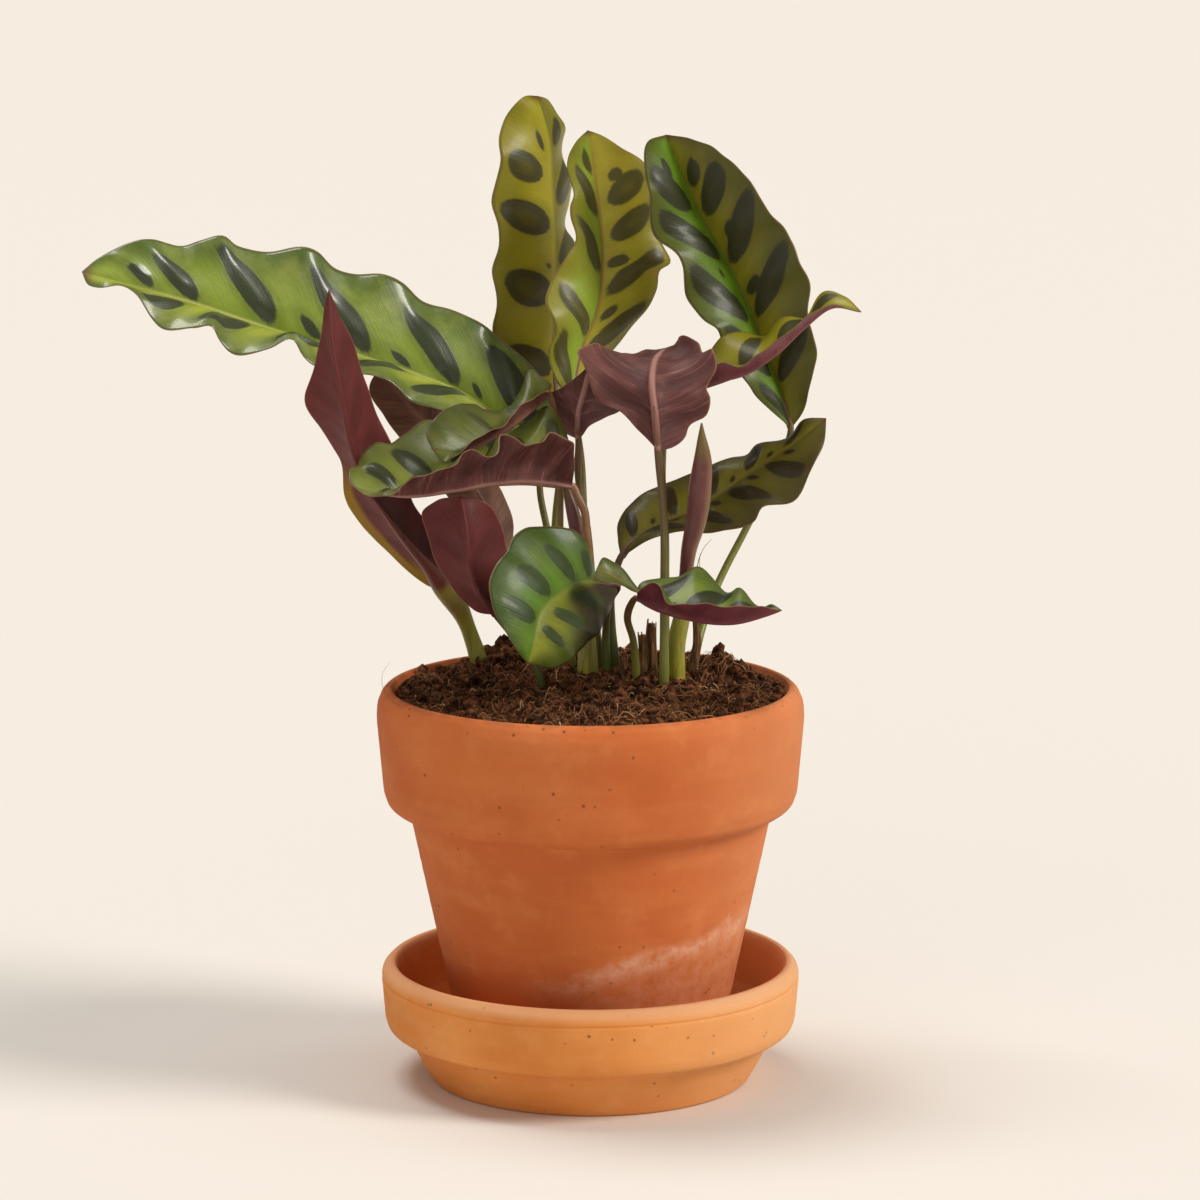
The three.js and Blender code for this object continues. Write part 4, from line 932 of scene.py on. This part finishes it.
def bladeSurface(name, leaf, rows, cells, fold):  # the grid through the blade, its normals, painted values
    even = np.linspace(0, 1, rows + 1)
    along = (even + (1 - np.cos(np.pi * even)) / 2) / 2
    share = np.arange(1, cells + 1) / cells
    across = 0.55 * share + 0.45 * share**2
    ribLine = leafLine(leaf, "rib")
    middle = spread(ribLine, along)
    left, right = (bladeHalf(name, leaf, side, along, across, middle, fold) for side in ("left", "right"))

    def row(key, centre):
        return np.concatenate([left[key][:, ::-1], centre, right[key]], axis=1)
    places = row("places", middle[:, None])
    flat = np.zeros((rows + 1, 1))
    painted = {
        "along": np.repeat(along[:, None], 2 * cells + 1, axis=1),
        "across": np.repeat(np.concatenate([-across[::-1], [0], across])[None], rows + 1, axis=0),
        "vein": row("vein", along[:, None] * lengthOf(ribLine)),
        "mark": row("mark", flat + blade["unmarked"]),
        "inward": row("inward", flat),
    }
    normals = unit(np.cross(np.gradient(places, axis=1), np.gradient(places, axis=0)))
    normals[0] = normals[1, cells]
    normals[-1] = normals[-2, cells]
    return places, normals, painted


def addBlade(build, name, leaf, rows, cells, fold, slot=0):
    places, normals, painted = bladeSurface(name, leaf, rows, cells, fold)
    across, along, inward = np.abs(painted["across"]), painted["along"], painted["inward"]
    half = (blade["ribThickness"] + (blade["edgeThickness"] - blade["ribThickness"]) * across) / 2
    ridge = blade["ribHeight"] * (0.12 + (1 - along) ** 1.2) * hump(inward, blade["ribWidth"])
    ridge = ridge * ease(0, 0.02, 1 - along) * (slot == 0)  # a lobe has no midrib
    groove = blade["groove"] * (1 - along * 0.7) * hump(inward, blade["grooveWidth"]) * (slot == 0)
    upper = places + normals * (half - groove)[..., None]
    lower = places - normals * (half + ridge)[..., None]
    values = {key: np.tile(value.reshape(-1), 2) for key, value in painted.items()}
    values["under"] = np.repeat([0.0, 1.0], half.size)
    points = np.vstack([upper.reshape(-1, 3), lower.reshape(-1, 3)])
    build.add(points, sheetFaces(*half.shape), slot, **values)
    return places, normals


def addStalk(build, name, leaf, places, normals):
    middle = (places.shape[1] - 1) // 2
    rows = [round(share * (places.shape[0] - 1)) for share in stalks["tailRows"]]
    under = blade["ribThickness"] * 0.5 + stalks["tailGap"]
    tail = [places[i, middle] - normals[i, middle] * under for i in rows]
    foot = np.array(leaf["stalk"][0], float) - (0, 0, stalks["rootDepth"])
    stalk = [foot, *leaf["stalk"], leaf["base"]]
    line = smoothLine([*stalk, *tail])
    whole = lengthOf(line)
    stalkShare = lengthOf(smoothLine(stalk)) / whole
    share = np.linspace(0, 1, int(whole / stalks["step"]) + 1)
    soilRadius, baseRadius = leaf["thick"]
    rise = share / stalkShare
    beyond = (share - stalkShare) / (1 - stalkShare)
    radius = np.where(share < stalkShare,
                      soilRadius + (baseRadius - soilRadius) * rise,
                      baseRadius + (stalks["tailRadius"] - baseRadius) * beyond)
    knee = hump((stalkShare - share) * whole - stalks["kneeBelow"], stalks["kneeLength"])
    swollenFoot = hump(share * whole - stalks["footAbove"], stalks["footLength"])
    slim, flare = stalks["wide"].get(name, (stalks["slim"], 0))
    clasp = ease(0.55, 1, rise) * (1 - ease(1.0, 1.35, rise))
    swell = stalks["kneeSwell"] * knee + stalks["footSwell"] * swollenFoot + flare * clasp
    radius = radius * slim * (1 + swell)
    sides = stalks["sides"]
    points, faces = tubeParts(spread(line, share), radius, sides, stalks["flat"])
    build.add(points, faces, 1, rise=[*np.repeat(np.clip(rise, 0, 1.2), sides), 0, 1.2],
              knee=[*np.repeat(knee, sides), 0, 0])


def upperColour(finish, coat, stripes, clouds, fine):
    along, side, mark = finish.value("along"), finish.value("across"), finish.value("mark")
    across, outer = side.maths("ABSOLUTE", side), coat["outer"]
    halo = (1 - (mark * -1).step(0.2, 3.2)) * (1 - mark.step(-0.5, 0.2))
    light = layered(side.step(-0.02, 0.02).mix(coat["left"], coat["right"]),
                    (across.step(0.25, 0.95) * 0.85, outer),
                    (stripes.step(0.45, 0.75) * coat["striped"], outer),
                    (clouds.step(0.42, 0.72) * 0.3, shade(coat["rib"], 0.95)))
    # painted shade: the left half near the base, and the very base, darkened where the blade lies in shade
    if coat["dark"]:
        base = (1 - side.step(-0.2, 0.1)) * (1 - along.step(0.42, 0.66)) + (1 - along.step(0.06, 0.26)) * 0.6
        light = (base * 0.92).mix(light, wearAndPaintedLight["paintedShadeBase"])
    edge = mark + (stripes - 0.5) * 0.9 + (fine - 0.5) * 0.4
    rib = (1 - finish.value("inward").step(0.35, 1.1)) * (1 - along.step(0.7, 1.0))
    return layered(light, (halo * 0.3, outer),
                   (edge.step(-0.4, 0.5) * 0.96, coat["oval"]),
                   # painted sheen: the middle of each large oval lighter
                   (mark.step(1.6, 4.2) * 0.25, shade(outer, 0.9)),
                   (rib * 0.8, coat["rib"]),
                   (across.step(0.93, 0.985) * 0.5, shade(outer, 0.5)),
                   (across.step(0.978, 0.992) * 0.6, wearAndPaintedLight["rim"]),
                   (along.step(0.965, 0.995) * 0.8, wearAndPaintedLight["tip"]))


def underColour(finish, coat, clouds):
    along, side, vein = finish.value("along"), finish.value("across"), finish.value("vein")
    across, ribbed, under = side.maths("ABSOLUTE", side), coat["ribbed"], coat["under"]
    lines = finish.grain(finish.join(vein, across * 1.2), 0.85, 3, 0.65)
    # Pale side veins with darker bands between them; on ribbed coats these are deepened partly as painted
    # light and shade on the folds.
    purple = layered(under, (lines.step(0.35, 0.72) * ribbed, shade(under, 0.5)),
                     ((1 - lines.step(0.28, 0.42)) * ribbed, coat["vein"]),
                     (clouds.step(0.42, 0.72) * 0.22, coat["vein"]),
                     # the ovals' places painted darker: partly the ovals showing through, partly painted
                     # shade in the valleys of the folds
                     (finish.value("mark").step(-1.4, 1.2) * (0.3 + 0.35 * ribbed), shade(under, 0.45)),
                     ((1 - finish.value("inward").step(0.3, 1.3)) * ribbed * 0.9, coat["vein"]),
                     (across.step(0.975, 0.99) * 0.6, wearAndPaintedLight["underRim"]))
    if coat["strip"]:
        # an amber strip on the margin and at the base, partly its own colour and partly painted light shining
        # through the blade
        strip = side.step(0.62, 0.84) * (1 - along.step(0.36, 0.52))
        strip = strip + side.step(0.1, 0.6) * (1 - along.step(0.04, 0.16))
        purple = strip.maths("MINIMUM", strip, 0.9).mix(purple, wearAndPaintedLight["amber"])
    return purple


def leafFinish(name, coat):
    finish = Finish(name, Specular_IOR_Level=coat["shine"], Coat_Roughness=0.16)
    side, vein, under = finish.value("across"), finish.value("vein"), finish.value("under")
    across = side.maths("ABSOLUTE", side)
    stripes = finish.grain(finish.join(vein, across * 2.5, finish.value("along") * 3.0), 1.1, 4)
    clouds = finish.grain(finish.place(), 0.09, 4)
    fine = finish.grain(finish.place(), 1.6)
    upper = upperColour(finish, coat, stripes, clouds, fine)
    finish.feed("Base Color", under.step(0.4, 0.6).mix(upper, underColour(finish, coat, clouds)))
    finish.feed("Roughness", 0.33 + fine * 0.1 + under * 0.16 + stripes * 0.08)
    finish.feed("Coat Weight", coat["gloss"] * (1 - under * 0.8))
    ridges = finish.grain(finish.join(vein, across * 0.35), 1.9, 2, 0.5)
    finish.bump(ridges * (0.4 + under * 0.4) + fine * 0.2 + clouds, 0.3, 0.8)
    return finish.material


def stalkFinish(name, low, high, tail):
    finish = Finish("stalk_" + name, Specular_IOR_Level=0.42, Coat_Weight=0.2, Coat_Roughness=0.25)
    rise, knee = finish.value("rise"), finish.value("knee")
    streaks = finish.grain(finish.place(1, 1, 0.08), 1.1)
    blotches = finish.grain(finish.place(), 0.12)
    colour = layered(rise.step(0.25, 0.9).mix(low, high),
                     (blotches.step(0.5, 0.72) * 0.22, stalks["knee"]),
                     (knee * 0.55, stalks["knee"]),
                     (rise.step(0.98, 1.08), tail),
                     (streaks.step(0.4, 0.7) * 0.28, stalks["streak"]))
    colour = (rise.step(0.0, 0.12) * 0.9 + 0.1).mix(stalks["buried"], colour)
    finish.feed("Base Color", colour)
    finish.feed("Roughness", 0.36 + streaks * 0.2)
    finish.bump(streaks, 0.25, 0.7)
    return finish.material


leafFinishes = {name: leafFinish("leaf_" + name, coat) for name, coat in coats.items()}
stalkFinishes = {name: stalkFinish(name, *(tone(*part) for part in parts)) for name, parts in stems.items()}


def makeLeaf(name, leaf):
    coat, stem, fold = habits[name]
    build = Build()
    rows = int(blade["fewestRows"] + blade["rowsPerMm"] * lengthOf(leafLine(leaf, "rib")))
    places, normals = addBlade(build, name, leaf, min(blade["mostRows"], rows), blade["cells"], fold)
    if "lobe" in leaf:
        addBlade(build, "lobe", leaf["lobe"], lobe["rows"], lobe["cells"], lobe["fold"], slot=2)
    addStalk(build, name, leaf, places, normals)
    piece = build.make(name, [leafFinishes[coat], stalkFinishes[stem], leafFinishes[lobe["coat"]]])
    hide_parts(name)


for leafName, leafShape in leaves.items():
    makeLeaf(leafName, leafShape)
print("leaves made:", len(leaves))


# Young leaves, still rolled up: a spiral sheet on a thick stalk

spikes = {
    "young_leaf_spike": {
        "line": [[28, 2, 122], [28, 2, 134], [28, 1, 144], [30, 0, 155], [31, 0, 165], [32, -1, 176],
                 [34, -1, 186], [35, -2, 197], [36, -2, 208], [36, -2, 218]],
        "radii": [2.9, 3.1, 3.1, 2.8, 2.4, 2.6, 3.3, 3.4, 2.6, 0.5],
        "bladeFrom": 0.4,
    },
    "young_leaf_small": {
        "line": [[-2, 6, 123], [-2, 6, 135], [-2, 7, 145], [-3, 8, 161], [-4, 9, 176], [-6, 10, 186],
                 [-8, 12, 194], [-10, 14, 200]],
        "radii": [2.2, 2.4, 2.2, 1.6, 1.8, 2.3, 1.8, 0.5],
        "bladeFrom": 0.5,
    },
}
spike = {
    "steps": 84,
    "sides": 44,
    "turns": 1.35,
    "twist": 1.4,  # radians from the base to the tip
    "seam": -1.9,  # where the outer edge starts, in radians
    "sheet": 0.35,
    "tipRadius": 0.3,
    "loose": 0.35,  # how far the outer edge stands off, as a share of the radius
    "core": 0.62,
    "coreSides": 12,
    "green": tone(164, 162, 52),
    "purple": tone(104, 48, 46),
    "streak": tone(64, 38, 30),
    "cloud": tone(124, 78, 66),
    "edge": tone(140, 112, 70),
    "tip": tone(104, 88, 34),
}


def spikeFinish():
    finish = Finish("rolled_leaf", Specular_IOR_Level=0.42, Coat_Weight=0.2, Coat_Roughness=0.25)
    rise, across = finish.value("rise"), finish.value("across")
    streaks = finish.grain(finish.place(1, 1, 0.1), 0.9)
    clouds = finish.grain(finish.place(), 0.12)
    colour = layered(rise.step(0.3, 0.46).mix(spike["green"], spike["purple"]),
                     (streaks.step(0.38, 0.7) * 0.3, spike["streak"]),
                     (clouds.step(0.45, 0.7) * 0.3, spike["cloud"]),
                     (across.step(0.88, 1.0) * rise.step(0.35, 0.5) * 0.6, spike["edge"]),
                     (rise.step(0.84, 0.93) * 0.85, spike["tip"]))
    finish.feed("Base Color", colour)
    finish.feed("Roughness", 0.38 + streaks * 0.15)
    finish.bump(streaks, 0.3, 0.7)
    return finish.material


def spikeRadii(shape, share):  # smoothed, and running out to a fine tip
    radius = np.pad(alongList(shape["radii"], share), 4, mode="edge")
    radius = np.convolve(radius, np.ones(9) / 9, mode="valid")
    radius[-6:] = np.linspace(radius[-6], spike["tipRadius"], 6)
    return radius


def makeSpike(name, shape):
    share = np.linspace(0, 1, spike["steps"] + 1)
    radius = spikeRadii(shape, share)
    centres = spread(smoothLine(shape["line"]), share)
    one, other = carriedFrames(centres)
    turn = np.linspace(0, 1, spike["sides"] + 1)
    roll = ease(shape["bladeFrom"] - 0.06, shape["bladeFrom"] + 0.1, share)
    loose = spike["loose"] * ease(0.5, 0.8, share) * (1 - ease(0.86, 0.98, share))
    wind = 1 - 0.2 * roll[:, None] * (1 - turn[None]) + loose[:, None] * ease(0.8, 1, turn)[None]
    size = radius[:, None] * wind
    angle = 2 * np.pi * spike["turns"] * turn[None] + share[:, None] * spike["twist"] + spike["seam"]
    faceSizes = (size, size - np.minimum(spike["sheet"], radius * 0.3)[:, None])  # outer, inner
    sheet = [centres[:, None] + one[:, None] * (np.cos(angle) * s)[..., None]
             + other[:, None] * (np.sin(angle) * s)[..., None] for s in faceSizes]
    rows, columns = size.shape
    faces = sheetFaces(rows, columns)
    top, inner = (rows - 1) * columns, size.size
    for j in range(columns - 1):
        faces.append((j, inner + j, inner + j + 1, j + 1))
        faces.append((top + j, top + j + 1, inner + top + j + 1, inner + top + j))
    build = Build()
    build.add(np.vstack([part.reshape(-1, 3) for part in sheet]), faces,
              rise=np.tile(np.repeat(share, columns), 2), across=np.tile(turn, 2 * rows))
    build.add(*tubeParts(centres[2:-4], radius[2:-4] * spike["core"], spike["coreSides"]), rise=0.3)
    piece = build.make(name, [rolledCover])
    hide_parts(name)


rolledCover = spikeFinish()
for spikeName, spikeShape in spikes.items():
    makeSpike(spikeName, spikeShape)
print("young leaves made")


# Dry ends of old stalks: torn, fibrous sheaths, and withered threads beside them

stubs = {
    "dry_stub_left": {"line": [[10.5, 1, 124], [10.5, 1, 134], [11, 1, 141]], "radii": [1.7, 1.7, 1.2]},
    "dry_stub_middle": {"line": [[17, 3, 124], [17, 3, 134], [17.5, 3, 141], [16.5, 3, 149]],
                        "radii": [1.9, 1.9, 1.7, 1.2]},
    "dry_stub_right": {"line": [[20, 8, 124], [20, 8, 134], [19.8, 8.4, 144], [20.2, 8.6, 152]],
                       "radii": [2.0, 2.0, 1.9, 1.5]},
    "dry_sheath": {"line": [[33.5, 6, 124], [33.5, 6, 134], [35, 6.5, 144], [34, 6.5, 156]],
                   "radii": [1.5, 1.5, 1.4, 0.8]},
}
wisps = [  # radius at the start of each withered thread, and places along it
    (0.22, [[35.6, 5, 160], [34.8, 4.6, 167], [35.4, 4, 172], [37, 3.6, 176], [39.5, 3.4, 179]]),
    (0.16, [[35.2, 5, 160], [36.4, 5, 166], [35.6, 4.4, 171], [35.9, 4.2, 174]]),
    (0.09, [[-61, -34, 131], [-64, -37, 134], [-66.5, -38, 139], [-66, -38, 143], [-64, -37, 146]]),
    (0.08, [[-56, -30, 132], [-52, -32, 136], [-47, -33, 138]]),
]
dry = {
    "dark": tone(74, 46, 28),
    "light": tone(158, 120, 78),
    "steps": 30,
    "sides": 14,
    "core": 0.8,
    "coreTop": 0.93,
    "strands": 16,
    "strandSteps": 18,
    "strandSides": 5,
    "strandRadii": (0.45, 0.16),
    "strandTwist": 0.7,
    "wispSteps": 24,
}


def dryFinish():
    finish = Finish("dry_stalk", Specular_IOR_Level=0.2)
    streaks = finish.grain(finish.place(1, 1, 0.12), 1.0, 4, 0.65)
    finish.feed("Base Color", (streaks.step(0.35, 0.68) * 0.8).mix(dry["dark"], dry["light"]))
    finish.feed("Roughness", 0.8 + streaks * 0.15)
    finish.bump(streaks, 0.5)
    return finish.material


def makeStub(name, shape, draw):
    line = smoothLine(shape["line"])
    share = np.linspace(0, 1, dry["steps"])
    radius = alongList(shape["radii"], share)
    build = Build()
    build.add(*tubeParts(spread(line, share * dry["coreTop"]), radius * dry["core"], dry["sides"]))
    count = dry["strandSteps"]
    for _ in range(dry["strands"]):  # flat strands stand round the core and end ragged
        turn = draw.uniform(0, 2 * math.pi)
        part = np.linspace(0, draw.uniform(0.8, 1.0), count)
        reach = np.interp(part, share, radius) * draw.uniform(0.78, 0.95)
        angle = turn + part * dry["strandTwist"]
        away = np.stack([np.cos(angle), np.sin(angle), part * 0], axis=-1)
        thick = np.linspace(*dry["strandRadii"], count)
        build.add(*tubeParts(spread(line, part) + away * reach[:, None], thick, dry["strandSides"], 0.6))
    piece = build.make(name, [dryCover])
    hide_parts(name)


def makeWisps():
    build = Build()
    count = dry["wispSteps"]
    for thick, places in wisps:
        line = spread(smoothLine(places), np.linspace(0, 1, count))
        build.add(*tubeParts(line, np.linspace(thick, thick * 0.3, count), dry["strandSides"]))
    piece = build.make("withered_threads", [dryCover])


dryCover = dryFinish()
for stubName, stubShape in stubs.items():
    makeStub(stubName, stubShape, random.Random(stubName))
makeWisps()
print("dry stubs made")


# Soil: coir and peat heaped in the pot

ground = {
    "edge": 129.6,
    "rim": 63.0,
    "rings": 125,
    "sides": 340,
    "walls": [(34, 12.7), (38, 17), (62.8, 127)],  # radius and height up the outside, below the rim
    "heaps": [(10, 0, 4.5, 34), (-26, 36, 8.5, 13), (48, 26, 5, 17), (12, 44, 3, 20)],  # x, y, height, spread
    "crumbs": 3400,
    "strands": 3200,
    "strandSteps": 6,
    "longStrand": 9,
    "dark": tone(44, 25, 15),
    "brown": tone(134, 84, 54),
    "strand": tone(184, 130, 86),
    "paleStrand": tone(222, 178, 128),
    # painted shade for the hollows in the soil
    "hollowShade": tone(22, 13, 9),
}


def soilHeight(x, y):
    mound = sum(high * math.exp(-((x - hx) ** 2 + (y - hy) ** 2) / wide**2)
                for hx, hy, high, wide in ground["heaps"])
    lumps = 0.7 * math.sin(x * 0.31 + 1) * math.cos(y * 0.27) + 0.5 * math.sin(x * 0.13 - y * 0.21)
    inside = (ground["rim"] - math.hypot(x, y)) / ground["rim"]
    rough = (noise.fractal(Vector((x, y, 3)) * 0.17, 0.7, 2.1, 5) * 2.5
             + noise.noise(Vector((x, y, 9)) * 0.8) * 0.6 - 0.4)
    return ground["edge"] + (mound + lumps) * min(1, inside * 5) + rough * min(1, 0.25 + inside * 6)


def soilFinish():
    finish = Finish("soil", Roughness=1.0, Specular_IOR_Level=0.1)
    place = finish.place()
    coarse, fine = finish.grain(place, 0.3, 5, 0.7), finish.grain(place, 1.8, 5, 0.75)
    colour = coarse.step(0.42, 0.62).mix(ground["dark"], ground["brown"])
    colour = (fine.step(0.5, 0.75) * 0.45).mix(colour, ground["strand"])
    # painted shade: the hollows between crumbs darkened, placed by fine noise
    colour = ((1 - fine.step(0.28, 0.46)) * 0.6).mix(colour, ground["hollowShade"])
    finish.feed("Base Color", colour)
    finish.bump(fine + coarse, 0.9)
    return finish.material


def strandFinish():
    finish = Finish("coir", Roughness=0.85, Specular_IOR_Level=0.15)
    tint = finish.value("shade")
    colour = tint.step(0.0, 0.95).mix(ground["dark"], ground["strand"])
    finish.feed("Base Color", tint.step(0.93, 0.98).mix(colour, ground["paleStrand"]))
    return finish.material


def makeSoil():
    angle = circle(ground["sides"])
    points = [(radius * math.cos(a), radius * math.sin(a), height)
              for radius, height in ground["walls"] for a in angle]
    for i in range(ground["rings"]):
        radius = ground["rim"] * (1 - i / ground["rings"]) ** 0.85
        for a in angle:
            x, y = radius * math.cos(a), radius * math.sin(a)
            points.append((x, y, soilHeight(x, y)))
    points += [(0, 0, ground["walls"][0][1]), (0, 0, soilHeight(0, 0))]
    build = Build()
    build.add(points, tubeFaces(len(ground["walls"]) + ground["rings"], ground["sides"]))
    piece = build.make("soil", [soilCover])
    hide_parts("soil")


def somewhere(draw, reach):
    turn, far = draw.uniform(0, 2 * math.pi), ground["rim"] * reach * math.sqrt(draw.random())
    return far * math.cos(turn), far * math.sin(turn)


def makeCrumbs(draw):
    build = Build()
    shape = bmesh.new()
    bmesh.ops.create_icosphere(shape, subdivisions=1, radius=1)
    base = np.array([v.co[:] for v in shape.verts])
    faces = [tuple(v.index for v in f.verts) for f in shape.faces]
    shape.free()
    for _ in range(ground["crumbs"]):
        x, y = somewhere(draw, 0.985)
        size = 0.3 + 2.0 * draw.random() ** 5
        lumpy = np.array([1 + draw.uniform(-0.3, 0.3) for _ in base])
        stretch = np.array([draw.uniform(0.6, 1.4) for _ in range(3)])
        build.add(base * lumpy[:, None] * stretch * size + (x, y, soilHeight(x, y) + size * 0.3), faces)
    piece = build.make("soil_crumbs", [soilCover], smooth=False, weld=False)


def makeStrands(draw):
    build = Build()
    steps, long = ground["strandSteps"], ground["longStrand"]
    for _ in range(ground["strands"]):
        x, y = somewhere(draw, 0.97)
        turn = draw.uniform(0, 2 * math.pi)
        length = 2 + long * draw.random() ** 2 + long * (draw.random() > 0.98)
        curl, tint = draw.uniform(-0.2, 0.2), draw.random()
        thick = draw.uniform(0.06, 0.14) * (1.5 if tint > 0.93 else 1)
        lift, arch = draw.uniform(0.0, 0.8), 1.8 * draw.random() ** 2
        points = []
        for k in range(steps + 1):
            points.append((x, y, soilHeight(x, y) + lift + arch * math.sin(math.pi * k / steps)))
            turn += curl + draw.uniform(-0.25, 0.25)
            x, y = x + math.cos(turn) * length / steps, y + math.sin(turn) * length / steps
            if math.hypot(x, y) > ground["rim"] * 0.99:
                break
        if len(points) > 3:
            radii = np.linspace(thick, thick * 0.5, len(points))
            build.add(*tubeParts(np.array(points), radii, 4), shade=tint)
    piece = build.make("coir_strands", [strandFinish()], weld=False)


soilCover = soilFinish()
makeSoil()
makeCrumbs(random.Random(5))
makeStrands(random.Random(8))
print("soil made")
